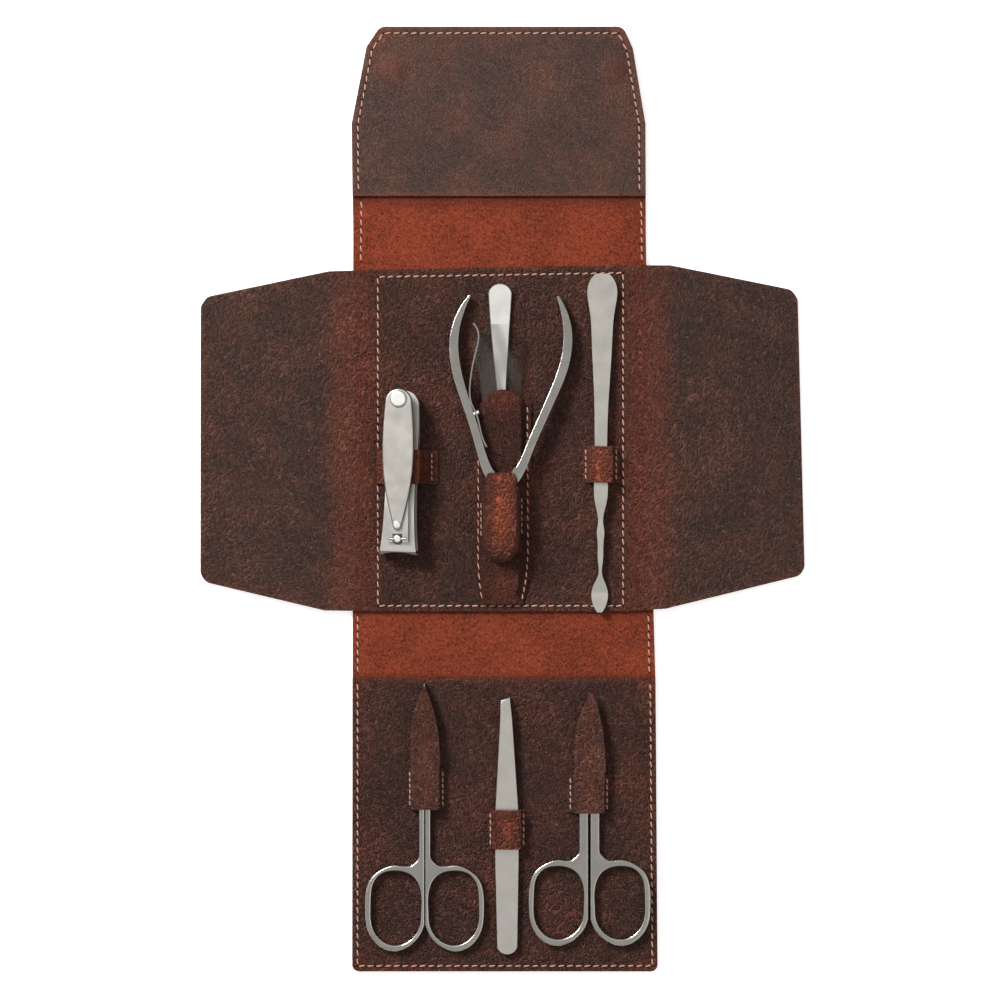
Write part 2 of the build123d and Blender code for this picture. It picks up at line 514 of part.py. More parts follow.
def scissors_half(side, layer, ring, wire, tip, shank_w, gap):
    """One half of a pair of scissors, with its ring on the given side and the pivot at 0, 0."""
    low = 0.06 + layer * (SCISSORS_LAYER + 0.05)
    high = low + SCISSORS_LAYER
    tip_x, tip_y = tip
    blade = plate([(side * 2.6, 0), (side * 2.3, 8.0), (side * 1.5, 20.0),
                   (tip_x + side * 0.15, tip_y),
                   (tip_x - side * 0.15, tip_y), (-side * 0.9, 20.0), (-side * 1.7, 8.0),
                   (-side * 2.0, 0)], low, high)
    hub = disc(0, 0, HUB_R, low, high)
    x_in, x_out = side * gap / 2, side * (gap / 2 + shank_w)
    neck = plate([(side * 0.1, -1.0), (side * 2.6, -1.0), (x_out, -6.5), (x_in, -6.5)], low, high)
    half = scissors_handle(side, ring, wire, shank_w, gap) + blade + hub + neck
    return half - disc(0, 0, 1.05, -1, 5)


def scissors(name, pivot, ring, wire, tip, shank_w, gap):
    """A pair of scissors lying closed, with its pivot screw."""
    place = Pos(pivot[0], pivot[1], Z_TOOL)
    for part, side, layer in (("lower_half", -1, 0), ("upper_half", 1, 1)):
        half = scissors_half(side, layer, ring, wire, tip, shank_w, gap)
        save(f"{name}_{part}", place * half)
    stack = 2 * SCISSORS_LAYER + 0.11
    screw = disc(0, 0, 1.0, -0.1, stack + 0.1) + disc(0, 0, 1.9, stack + 0.05, stack + 0.35)
    save(f"{name}_screw", place * screw)


# ---- tweezers ----------------------------------------------------------------------------
TWEEZER_TAIL = (2.5, -176.0)
TWEEZER_GAP_ANGLE = 0.8           # the loop holds the arms nearly closed
ARM_T = 1.0


def tweezers():
    """Slant tweezers: two long arms joined at the round tail."""
    edge = [Line((0.25, -90.4), (3.5, -89.4)), Line((3.5, -89.4), (4.3, -97.0)),
            Line((4.3, -97.0), (6.4, -128.0)), Line((6.4, -128.0), (6.6, -145.0)),
            Line((6.6, -145.0), (6.1, -175.6)),
            ThreePointArc((6.1, -175.6), (2.45, -178.9), (-1.1, -175.4)),
            Line((-1.1, -175.4), (-1.8, -145.0)), Line((-1.8, -145.0), (-1.65, -128.0)),
            Line((-1.65, -128.0), (0.0, -97.0)), Line((0.0, -97.0), (0.25, -90.4))]
    arm = extrude(make_face(Wire(edge)), amount=ARM_T)
    lower = Pos(0, 0, Z_TOOL) * arm
    upper_z = Z_TOOL + ARM_T + 0.06
    upper = Pos(0, 0, upper_z) * arm
    upper = rounded(upper, upper.faces().sort_by(Axis.Z)[-1].edges(), 0.3)
    upper -= box((-3, 8), (-185, TWEEZER_TAIL[1]), (upper_z - 1, upper_z + 3))
    upper = upper.rotate(Axis((0, TWEEZER_TAIL[1], upper_z), (1, 0, 0)), TWEEZER_GAP_ANGLE)
    tail = Pos(0, 0, Z_TOOL + ARM_T) * arm & box(
        (-3, 8), (-185, TWEEZER_TAIL[1] - 0.05), (Z_TOOL, Z_TOOL + 5))
    save("tweezers_lower_arm", lower + tail)
    save("tweezers_upper_arm", upper)


# ---- the whole set -----------------------------------------------------------------------
centre_panel()
spines()
lower_panel()
flap()
wings()
file_pocket()
file_sleeve()
nipper_cover()
small_straps()
sheaths()
clipper_body()
clipper_lever()
clipper_strap()
nail_file()
cuticle_pusher()
cuticle_nipper()
scissors("left_scissors", LEFT_SCISSORS, (20.8, -59.2, -29.3), (1.4, 2.1, 2.3, 1.9),
         (-0.2, 34.2), 2.0, 0.12)
scissors("right_scissors", RIGHT_SCISSORS, (21.3, -56.5, -26.6), (1.8, 2.1, 2.5, 2.2),
         (0.3, 31.2), 3.3, 0.6)
tweezers()
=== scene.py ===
"""Dresses the open manicure case: leather, suede, thread, film and steel, round the CAD frame."""
import logging
import math
from dataclasses import dataclass
from enum import Enum
from typing import Callable, Sequence

import bmesh
import bpy
from mathutils import Matrix, Vector, noise


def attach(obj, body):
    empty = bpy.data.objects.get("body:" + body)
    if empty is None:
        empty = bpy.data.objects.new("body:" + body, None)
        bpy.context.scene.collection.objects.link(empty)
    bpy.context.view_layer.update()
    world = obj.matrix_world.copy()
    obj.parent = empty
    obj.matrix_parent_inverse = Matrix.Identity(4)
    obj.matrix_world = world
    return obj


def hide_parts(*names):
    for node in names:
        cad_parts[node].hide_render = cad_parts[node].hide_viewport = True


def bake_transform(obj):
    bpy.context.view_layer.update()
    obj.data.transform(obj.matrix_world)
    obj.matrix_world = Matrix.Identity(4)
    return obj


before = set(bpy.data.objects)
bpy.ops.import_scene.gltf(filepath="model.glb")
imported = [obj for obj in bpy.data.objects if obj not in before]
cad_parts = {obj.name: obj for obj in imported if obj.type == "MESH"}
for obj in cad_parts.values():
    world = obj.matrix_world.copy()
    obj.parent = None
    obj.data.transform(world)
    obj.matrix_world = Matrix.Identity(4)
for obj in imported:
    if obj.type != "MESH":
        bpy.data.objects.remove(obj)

MM = 0.001
LOG = logging.getLogger("manicure_case")
Point = tuple[float, float]
Colour = tuple[int, int, int]
Height = Callable[[float, float], float]
Place = Callable[[int, int], Vector | None]
Socket = bpy.types.NodeSocket
Node = bpy.types.Node
Piece = bpy.types.Object
Mesh = bmesh.types.BMesh
Line = Sequence[Point]

# Layers of the case, in millimetres, as the CAD frame has them.
COVER_TOP, LINING_TOP, LEATHER_TOP = 1.2, 1.8, 3.0
LOWER_FOLD, LOWER_PANEL_FOLD, UPPER_FOLD, FLAP_FOLD = -59.6, -82.6, 61.4, 85.4
GUSSET_FOLD, WING_FOLD = 43.5, 58.0
LOWER_END, FLAP_END = -185.2, 144.6
FOLDS = (LOWER_FOLD, LOWER_PANEL_FOLD, UPPER_FOLD, FLAP_FOLD)
PANEL_THICKNESS = 1.2

# Sewing, in millimetres.
HOLE_RADIUS, HOLE_DEPTH = 0.34, 0.08
SEAM_SINK = 0.12
GROOVE_DEPTH = 0.16
GROOVE_CUTS = (-0.9, -0.35, 0.35, 0.9)
SHORT_SPAN = 12.0
UNDERSIDE = 0.08

SHARP_ANGLE = math.radians(38)
HIDE_SPECULAR = 0.26
FIBRES_PER_METRE = 3500.0


class Slot(Enum):
    """Material slots of the record, by what they finish."""

    COVER = "cover"
    SUEDE = "suede"
    LEATHER = "leather"
    STRAP = "strap_leather"
    FILM = "clear_plastic"
    STEEL = "steel"
    BRIGHT = "bright_steel"
    MAGNET = "magnet"


# ---- shaders ----
class Sheet:
    """A node tree that is being filled in."""

    def __init__(self, tree: bpy.types.NodeTree) -> None:
        """Keep the tree."""
        self.tree = tree

    def feed(self, node: Node, **values: object) -> None:
        """Link or set inputs of a node, by name with underscores for spaces, or as _0, _1.

        Args:
            node: the node.
            values: a socket or a plain value for each input.
        """
        for name, value in values.items():
            key = name.strip("_").replace("_", " ")
            socket = node.inputs[int(key) if key.isdigit() else key]
            if isinstance(value, Socket):
                self.tree.links.new(value, socket)
            else:
                socket.default_value = value

    def add(self, kind: str, **values: object) -> Node:
        """Add a node.

        Args:
            kind: Blender's name of the node type; ShaderNode may be left out.
            values: attributes of the node; a name that starts with in_ feeds that input.

        Returns:
            The new node.
        """
        node = self.tree.nodes.new(kind if kind.startswith("Node") else "ShaderNode" + kind)
        for name, value in values.items():
            if name.startswith("in_"):
                self.feed(node, **{name[2:]: value})
            else:
                setattr(node, name, value)
        return node

    def math(self, operation: str, a: object, b: object = 0.0, clamp: bool = False) -> Socket:
        """One step of arithmetic on two values."""
        return self.add("Math", operation=operation, use_clamp=clamp, in_0=a, in_1=b).outputs[0]

    def plus(self, first: object, *others: object, clamp: bool = False) -> Socket:
        """Sum of some values; clamp keeps the whole sum in 0..1.

        Args:
            first: the first value.
            others: what is added to it.
            clamp: keep the whole sum in 0..1.

        Returns:
            The sum.
        """
        for index, other in enumerate(others, 1):
            first = self.math("ADD", first, other, clamp and index == len(others))
        return first

    def times(self, a: object, b: object, clamp: bool = False) -> Socket:
        """Product of two values."""
        return self.math("MULTIPLY", a, b, clamp)

    def span(self, value: object, low: float, high: float, to: Point = (0.0, 1.0)) -> Socket:
        """Map a value from low..high to a new span, smoothly and clamped."""
        return self.add("MapRange", interpolation_type="SMOOTHSTEP", in_0=value, in_1=low,
                        in_2=high, in_3=to[0], in_4=to[1]).outputs[0]

    def mix(self, share: object, a: object, b: object) -> Socket:
        """Mix two colours."""
        return self.add("Mix", data_type="RGBA", in_0=share, in_6=a, in_7=b).outputs[2]

    def scaled(self, vector: object, factor: object) -> Socket:
        """A vector or a colour times a factor."""
        return self.add("VectorMath", operation="SCALE", in_0=vector, in_Scale=factor).outputs[0]

    def noise(self, vector: object, scale: float, detail: float = 4.0, rough: float = 0.55,
              distortion: float = 0.0) -> Socket:
        """Fractal noise over a vector."""
        return self.add("TexNoise", in_Vector=vector, in_Scale=scale, in_Detail=detail,
                        in_Roughness=rough, in_Distortion=distortion).outputs["Fac"]

    def cells(self, vector: object, scale: float, reach: float) -> Socket:
        """Rounded cells, 0 on their borders and 1 past a reach inside.

        Args:
            vector: the coordinates.
            scale: cells per unit of them.
            reach: how far a border reaches into a cell.

        Returns:
            The height of the cells.
        """
        texture = self.add("TexVoronoi", feature="DISTANCE_TO_EDGE", in_Vector=vector,
                           in_Scale=scale)
        return self.span(texture.outputs["Distance"], 0.0, reach)

    def stretch(self, vector: object, scale: Sequence[float], turn: float = 0.0) -> Socket:
        """Turn a pattern's coordinates, then scale them.

        Args:
            vector: the coordinates.
            scale: a factor for each axis; a smaller one draws the pattern out.
            turn: turn about Z, in degrees.

        Returns:
            The new coordinates.
        """
        return self.add("Mapping", vector_type="TEXTURE", in_Vector=vector,
                        in_Scale=tuple(1 / s for s in scale),
                        in_Rotation=(0.0, 0.0, math.radians(turn))).outputs[0]

    def painted(self, name: str) -> Socket:
        """An attribute of the mesh as a value."""
        return self.add("Attribute", attribute_name=name).outputs["Fac"]


def srgb(colour: Sequence[int]) -> tuple[float, float, float, float]:
    """A display colour, 0 to 255 each, as linear values with full alpha.

    Args:
        colour: red, green and blue.

    Returns:
        The colour as a shader takes it.
    """
    def linear(value: int) -> float:
        """One channel as a linear value."""
        share = value / 255
        return share / 12.92 if share <= 0.04045 else ((share + 0.055) / 1.055) ** 2.4

    return (*(linear(value) for value in colour), 1.0)


def new_group(name: str, inputs: dict[str, str], outputs: dict[str, str]
              ) -> tuple[Sheet, Socket, Sequence[Socket], Node]:
    """Start a shader node group with a Vector input, in metres.

    Args:
        name: its name.
        inputs: names of its other inputs, by kind of socket.
        outputs: names of its outputs, by kind of socket.

    Returns:
        The sheet to fill in, the vector in millimetres, the given sockets and the output node.
    """
    tree = bpy.data.node_groups.new(name, "ShaderNodeTree")
    for direction, sockets in (("INPUT", {"Vector": "Vector", **inputs}), ("OUTPUT", outputs)):
        for kind, labels in sockets.items():
            for label in labels.split():
                tree.interface.new_socket(label, in_out=direction,
                                          socket_type=f"NodeSocket{kind}")
    sheet = Sheet(tree)
    given = sheet.add("NodeGroupInput").outputs
    return sheet, sheet.scaled(given["Vector"], 1 / MM), given, sheet.add("NodeGroupOutput")


def hide_grain_group() -> None:
    """Grain of waxed leather: pebbles, drawn wrinkles, blotches and rubbed places."""
    sheet, vector, given, out = new_group(
        "hide_grain", {"Color": "Dark Warm Rubbed", "Float": "Warmth Rub Rim Pebble Wrinkle"},
        {"Color": "Color", "Float": "Roughness Height"})
    bend = sheet.add("TexNoise", in_Vector=vector, in_Scale=0.3, in_Detail=1.0)
    bent = sheet.add("VectorMath", operation="MULTIPLY_ADD", in_0=bend.outputs["Color"],
                     in_1=(2.2, 2.2, 2.2), in_2=vector).outputs[0]
    valleys = sheet.cells(sheet.stretch(bent, (1.0, 0.72, 1.0), 24), 0.66, 0.2)
    fine = sheet.cells(bent, 1.35, 0.26)
    blotch = sheet.noise(vector, 0.045, 5.0, 0.6, 0.4)
    speck = sheet.noise(vector, 2.2, 3.0, 0.6)
    patch = sheet.span(sheet.noise(vector, 0.022, 3.0, 0.5), 0.38, 0.62)

    def wrinkles(turn: float) -> Socket:
        """Fine lines that run across a direction, 0 on each line."""
        lines = sheet.noise(sheet.stretch(bent, (1.0, 0.36, 1.0), turn), 0.95, 1.0, 0.5)
        return sheet.span(sheet.math("ABSOLUTE", sheet.math("SUBTRACT", lines, 0.5)), 0.0, 0.055)

    drawn_in = sheet.times(given["Wrinkle"],
                           sheet.span(sheet.noise(vector, 0.11, 3.0), 0.35, 0.6, (0.3, 1.0)))
    smooth = sheet.mix(patch, wrinkles(38), wrinkles(-28))
    crease = sheet.times(sheet.math("SUBTRACT", 1.0, smooth), drawn_in)
    pebbled = sheet.times(given["Pebble"], sheet.plus(0.45, sheet.times(patch, 0.55)))
    cracks = sheet.times(sheet.math("SUBTRACT", 1.0, valleys), pebbled)
    height = sheet.plus(sheet.times(valleys, pebbled), sheet.times(fine, 0.25),
                        sheet.times(crease, -0.8), sheet.times(speck, 0.1))

    warmth = sheet.plus(given["Warmth"], sheet.span(blotch, 0.4, 0.68, (0.0, 0.4)),
                        sheet.times(cracks, 0.35), sheet.times(crease, 0.4),
                        sheet.span(speck, 0.5, 0.75, (0.0, 0.3)), clamp=True)
    worn = sheet.times(given["Rub"], sheet.plus(
        -0.45, sheet.times(sheet.noise(bent, 0.7, 4.0, 0.7), 2.6)), clamp=True)
    rim = sheet.times(given["Rim"], sheet.span(blotch, 0.3, 0.6, (0.35, 0.9)))
    colour = sheet.mix(warmth, given["Dark"], given["Warm"])
    colour = sheet.mix(rim, sheet.mix(worn, colour, given["Rubbed"]), given["Warm"])
    shade = sheet.plus(sheet.span(speck, 0.32, 0.68, (0.36, 0.98)), sheet.times(cracks, 0.65),
                       sheet.times(crease, 0.95))
    rough = sheet.span(sheet.plus(speck, sheet.times(blotch, 0.6)), 0.5, 1.1, (0.4, 0.62))
    sheet.feed(out, Color=sheet.scaled(colour, shade), Roughness=rough, Height=height)


def suede_group() -> None:
    """Nap of suede: short brushed fibres, light and dark strokes and a few stains."""
    sheet, vector, given, out = new_group(
        "suede_nap", {"Color": "Deep Light"}, {"Color": "Color", "Float": "Height"})
    fibres = sheet.noise(sheet.stretch(vector, (1.0, 0.6, 1.0), 35), 1.7, 6.0, 0.75, 0.3)
    strokes = sheet.noise(sheet.stretch(vector, (0.7, 1.0, 1.0), -12), 0.7, 5.0, 0.65, 0.4)
    cloud = sheet.noise(vector, 0.05, 3.0)
    share = sheet.plus(sheet.span(fibres, 0.38, 0.62, (0.0, 0.7)),
                       sheet.span(strokes, 0.35, 0.6, (0.0, 0.3)),
                       sheet.span(cloud, 0.4, 0.6, (-0.06, 0.12)), clamp=True)
    stain = sheet.span(sheet.noise(vector, 1.1, 3.0, 0.7), 0.5, 0.68, (1.06, 0.5))
    sheet.feed(out, Color=sheet.scaled(sheet.mix(share, given["Deep"], given["Light"]), stain),
               Height=sheet.plus(fibres, sheet.times(strokes, 0.5)))


def blasted_group() -> None:
    """Fine blasted steel: tiny pits, faint handling marks and a varying sheen."""
    sheet, vector, given, out = new_group("blasted_steel", {"Color": "Color", "Float": "Sheen"},
                                          {"Color": "Color", "Float": "Roughness Height"})
    pits = sheet.noise(vector, 7.0, 3.0, 0.7)
    cloud = sheet.noise(vector, 0.16, 4.0, 0.6)
    marks = sheet.noise(sheet.stretch(vector, (1.0, 0.08, 1.0)), 5.0, 3.0, 0.6)
    rough = sheet.plus(given["Sheen"], sheet.span(cloud, 0.3, 0.7, (-0.04, 0.07)),
                       sheet.span(pits, 0.4, 0.7, (0.0, 0.05)))
    level = sheet.plus(sheet.span(cloud, 0.3, 0.7, (0.93, 1.02)),
                       sheet.span(pits, 0.35, 0.7, (-0.05, 0.04)),
                       sheet.span(marks, 0.4, 0.6, (-0.02, 0.02)))
    sheet.feed(out, Color=sheet.scaled(given["Color"], level), Roughness=rough,
               Height=sheet.plus(pits, sheet.times(marks, 0.3)))


class Coat(Sheet):
    """A material's node tree, with its Principled BSDF and its Object coordinates."""

    def __init__(self, material: bpy.types.Material) -> None:
        """Find the shader and add the coordinates.

        Args:
            material: a material that already uses nodes.
        """
        super().__init__(material.node_tree)
        self.shader = next(n for n in self.tree.nodes if n.type == "BSDF_PRINCIPLED")
        self.vector = self.add("TexCoord").outputs["Object"]

    def group(self, name: str, **values: object) -> Sequence[Socket]:
        """Outputs of a node group that reads the coordinates and the given values.

        Args:
            name: name of the group.
            values: a socket or a plain value for each other input.

        Returns:
            The outputs of the group.
        """
        node = self.add("Group", node_tree=bpy.data.node_groups[name], in_Vector=self.vector)
        self.feed(node, **values)
        return node.outputs

    def finish(self, height: Socket, depth: float, **values: object) -> None:
        """Feed the shader's inputs, and a bump from a height; depth is in millimetres."""
        bump = self.add("Bump", in_Height=height, in_Strength=1.0, in_Distance=depth * MM)
        self.feed(self.shader, Normal=bump.outputs[0], **values)


@dataclass(frozen=True)
class Finish:
    """A finish of the case; each kind fills in its material in its own way."""

    name: str

    def fill(self, coat: Coat) -> None:
        """Fill in the material."""
        raise NotImplementedError

    @property
    def material(self) -> bpy.types.Material:
        """The finish's material, made when it is first asked for.

        Returns:
            The material.
        """
        made = bpy.data.materials.get(self.name)
        if made is None:
            made = bpy.data.materials.new(self.name)
            made.use_nodes = True
            self.fill(Coat(made))
        return made


@dataclass(frozen=True)
class HideFinish(Finish):
    """Finish of one leather: its colours, warmth and grain; it reads the rub and rim."""

    dark: Colour
    warm: Colour
    rubbed: Colour = (140, 66, 46)
    warmth: float = 0.1
    pebble: float = 0.8
    wrinkle: float = 0.8
    depth: float = 0.95

    def fill(self, coat: Coat) -> None:
        """Fill in the grain.

        Args:
            coat: node tree of the material.
        """
        grain = coat.group("hide_grain", Dark=srgb(self.dark), Warm=srgb(self.warm),
                           Rubbed=srgb(self.rubbed), Warmth=self.warmth,
                           Rub=coat.painted("rub"), Rim=coat.painted("rim"),
                           Pebble=self.pebble, Wrinkle=self.wrinkle)
        coat.finish(grain["Height"], self.depth, Base_Color=grain["Color"],
                    Roughness=grain["Roughness"], Specular_IOR_Level=HIDE_SPECULAR)


@dataclass(frozen=True)
class SuedeFinish(Finish):
    """Finish of the rust suede lining, matt with a little sheen, darkened by a painted shadow
    beside the leather's edges and folds.
    """

    deep: Colour
    light: Colour

    def fill(self, coat: Coat) -> None:
        """Fill in the nap and its painted shadow.

        Args:
            coat: node tree of the material.
        """
        nap = coat.group("suede_nap", Deep=srgb(self.deep), Light=srgb(self.light))
        # Painted shadow: the stored spots darken the nap towards the deep colour beside the
        # leather's edges and folds.
        colour = coat.mix(coat.painted("rub"), nap["Color"], srgb(self.deep))
        coat.finish(nap["Height"], 0.3, Base_Color=colour, Roughness=0.92,
                    Specular_IOR_Level=0.2, Sheen_Weight=0.15)


@dataclass(frozen=True)
class SteelFinish(Finish):
    """Finish of one steel: colour and sheen, blasted or polished, with a painted highlight on its
    tilted rims and painted shade on its steep sides.
    """

    colour: Colour
    sheen: float
    depth: float
    # Level of flat faces; below 1 it paints shade on them, so that the rims read as painted
    # highlights.
    flat: float = 1.0

    def fill(self, coat: Coat) -> None:
        """Fill in the steel, with painted light by the tilt of each face: flat faces at their own
        level, a painted highlight on tilted rims, painted shade on steep sides.

        Args:
            coat: node tree of the material.
        """
        steel = coat.group("blasted_steel", Color=srgb(self.colour), Sheen=self.sheen)
        normal = coat.add("TexCoord").outputs["Normal"]
        upright = coat.math("ABSOLUTE", coat.add("SeparateXYZ", in_0=normal).outputs["Z"])
        tilt = coat.math("SUBTRACT", 1.0, upright)
        # Painted light by tilt: flat faces at the flat level, a painted highlight where faces
        # start to tilt, painted shade down to half on steep sides.
        level = coat.times(coat.span(tilt, 0.009, 0.05, (self.flat, 1.0)),
                           coat.span(tilt, 0.12, 0.6, (1.0, 0.5)))
        coat.finish(steel["Height"], self.depth, Base_Color=coat.scaled(steel["Color"], level),
                    Roughness=steel["Roughness"], Metallic=1.0)


@dataclass(frozen=True)
class PlainFinish(Finish):
    """A small piece's finish: one colour broken up by fine noise."""

    colour: Colour
    roughness: float

    def fill(self, coat: Coat) -> None:
        """Fill in the fibres.

        Args:
            coat: node tree of the material.
        """
        fibre = coat.noise(coat.vector, FIBRES_PER_METRE, 3.0, 0.7)
        full = srgb(self.colour)
        dull = (*(0.62 * c for c in full[:3]), 1.0)
        coat.finish(fibre, 0.05, Base_Color=coat.mix(coat.span(fibre, 0.3, 0.7), dull, full),
                    Roughness=self.roughness)


@dataclass(frozen=True)
class FilmFinish(Finish):
    """Clear soft plastic film, see-through by alpha, with faint clouding and scratches."""

    dark: Colour
    pale: Colour

    def fill(self, coat: Coat) -> None:
        """Fill in the clouds and the scratches.

        Args:
            coat: node tree of the material.
        """
        cloud = coat.noise(coat.stretch(coat.vector, (1.0, 0.5, 1.0), 25), 75.0, 1.5, 0.5)
        scratch = coat.noise(coat.stretch(coat.vector, (1.0, 0.12, 1.0), 20), 900.0, 3.0, 0.7)
        colour = coat.mix(coat.span(cloud, 0.35, 0.65), srgb(self.dark), srgb(self.pale))
        edge = coat.add("LayerWeight", in_Blend=0.35).outputs["Facing"]
        alpha = coat.plus(coat.span(cloud, 0.44, 0.64, (0.02, 0.2)), coat.times(edge, 0.3),
                          clamp=True)
        coat.finish(coat.plus(cloud, coat.times(scratch, 0.2)), 0.8, Base_Color=colour,
                    Alpha=alpha, Roughness=0.12, Specular_IOR_Level=0.5, Coat_Weight=0.1)


@dataclass(frozen=True)
class FloorFinish(Finish):
    """White floor that shows white to the camera and keeps the soft shadow."""

    def fill(self, coat: Coat) -> None:
        """Fill in a matt white that also glows for whoever looks at it.

        Args:
            coat: node tree of the material.
        """
        path = coat.add("LightPath").outputs
        seen = coat.math("MAXIMUM", path["Is Camera Ray"],
                         coat.math("MAXIMUM", path["Is Glossy Ray"], path["Is Transmission Ray"]))
        coat.feed(coat.shader, Base_Color=(0.86, 0.86, 0.86, 1.0), Roughness=0.9,
                  Specular_IOR_Level=0.0, Emission_Color=(1.0, 1.0, 1.0, 1.0),
                  Emission_Strength=coat.times(seen, 0.6))


HIDE = HideFinish("dark_hide", (60, 43, 38), (100, 58, 46))
WING_HIDE = HideFinish("wing_hide", (68, 52, 46), (106, 66, 53), warmth=0.02, pebble=0.6)
FLAP_HIDE = HideFinish("flap_hide", (66, 47, 40), (112, 69, 55), pebble=0.15, wrinkle=0.2,
                       depth=0.4)
POCKET_HIDE = HideFinish("pocket_hide", (52, 32, 27), (96, 50, 38), pebble=0.5)
STRAP_HIDE = HideFinish("strap_hide", (66, 36, 30), (122, 66, 51), (158, 78, 50), pebble=1.0,
                        wrinkle=0.3)
LEAF_HIDE = HideFinish("leaf_hide", (62, 41, 35), (112, 70, 58), (140, 74, 52), 0.15, 0.9)
COVER_HIDE = HideFinish("cover_hide", (60, 43, 38), (98, 55, 42), (126, 66, 48), 0.12, 0.6)
SUEDE = SuedeFinish("rust_suede", (70, 24, 12), (144, 62, 35))
# Steel finishes: colour, sheen, bump depth and the level of flat faces, which paints shade on them
# below 1.
SATIN = SteelFinish("satin_steel", (180, 177, 171), 0.36, 0.006)
FILE_STEEL = SteelFinish("file_steel", (213, 211, 207), 0.45, 0.01)
HANDLE_STEEL = SteelFinish("handle_steel", (214, 210, 203), 0.24, 0.004, 0.42)
BRIGHT = SteelFinish("bright_steel", (156, 154, 150), 0.2, 0.002, 0.8)
THREAD = PlainFinish("waxed_thread", (206, 158, 136), 0.6)
# Dark discs that paint the shade inside the needle holes.
HOLE_SHADE = PlainFinish("needle_hole_shade", (26, 16, 14), 0.9)
FILM = FilmFinish("clear_film", (40, 30, 26), (86, 76, 70))
FLOOR = FloorFinish("white_floor")


# ---- mesh helpers ----
def smoothstep(low: float, high: float, value: float) -> float:
    """0 below low, 1 above high, smooth between."""
    share = max(0.0, min(1.0, (value - low) / (high - low)))
    return share * share * (3 - 2 * share)


def between(ends: Point, share: float) -> float:
    """The value that lies a share of the way from one end to the other."""
    return ends[0] + (ends[1] - ends[0]) * share


def ripple(x: float, y: float, size: float, depth: float, seed: float = 0.0) -> float:
    """Gentle unevenness of leather, in millimetres."""
    return depth * noise.noise(Vector((x / size, y / size, seed)))


def distance_to(point: Vector, start: Point, end: Point) -> float:
    """Distance from a point to a straight stretch, seen from above.

    Args:
        point: the point.
        start: one end of the stretch.
        end: its other end.

    Returns:
        The distance.
    """
    a, b = Vector(start), Vector(end)
    line = b - a
    share = max(0.0, min(1.0, (point.xy - a).dot(line) / line.length_squared))
    return (point.xy - a - line * share).length


def soften(points: Line, rounds: int = 2) -> list[Point]:
    """Cut the corners of an open line, again and again, so that it runs smoothly.

    Args:
        points: the line.
        rounds: how often the corners are cut.

    Returns:
        The smoother line, with the same ends.
    """
    line = [Vector(p) for p in points]
    for _ in range(rounds):
        inner = []
        for a, b in zip(line, line[1:]):
            inner += [a.lerp(b, 0.25), a.lerp(b, 0.75)]
        line = [line[0]] + inner[1:-1] + [line[-1]]
    return [tuple(p) for p in line]


def walk(points: Line, share: float) -> Point:
    """The point that lies a share of the way along a line.

    Args:
        points: the line.
        share: 0 at its start and 1 at its end.

    Returns:
        The point.
    """
    lengths = [math.dist(a, b) for a, b in zip(points, points[1:])]
    left = share * sum(lengths)
    for (a, b), length in zip(zip(points, points[1:]), lengths):
        if left <= length and length > 0:
            return tuple(Vector(a).lerp(Vector(b), left / length))
        left -= length
    return tuple(points[-1])


def rectangle(xs: Point, ys: Point) -> list[Point]:
    """Outline of a rectangle, counter-clockwise."""
    return [(xs[0], ys[0]), (xs[1], ys[0]), (xs[1], ys[1]), (xs[0], ys[1])]


def crossing(edge: Line, y: float) -> float:
    """X of an edge line at a height Y; the line runs up in Y.

    Args:
        edge: the line.
        y: the height; past an end, the end counts.

    Returns:
        The X.
    """
    for (x0, y0), (x1, y1) in zip(edge, edge[1:]):
        if y <= y1:
            return x0 + (x1 - x0) * max(0.0, (y - y0) / (y1 - y0))
    return edge[-1][0]


def rounded_outline(points: Line, radii: Sequence[float], steps: int = 5) -> list[Point]:
    """Round the corners of a polygon.

    Args:
        points: its corners, counter-clockwise.
        radii: one radius for each corner; 0 leaves it sharp.
        steps: points along each arc.

    Returns:
        The points of the rounded outline.
    """
    result: list[Point] = []
    for index, radius in enumerate(radii):
        if radius <= 0:
            result.append(points[index])
            continue
        here = Vector(points[index])
        before = (Vector(points[index - 1]) - here).normalized()
        after = (Vector(points[(index + 1) % len(points)]) - here).normalized()
        half = before.angle(after) / 2
        reach = radius / math.tan(half)
        centre = here + (before + after).normalized() * (radius / math.sin(half))
        first, last = here + before * reach - centre, here + after * reach - centre
        sweep = first.angle_signed(last)
        for step in range(steps + 1):
            arm = first.copy()
            arm.rotate(Matrix.Rotation(-sweep * step / steps, 2))
            result.append(tuple(centre + arm))
    return result


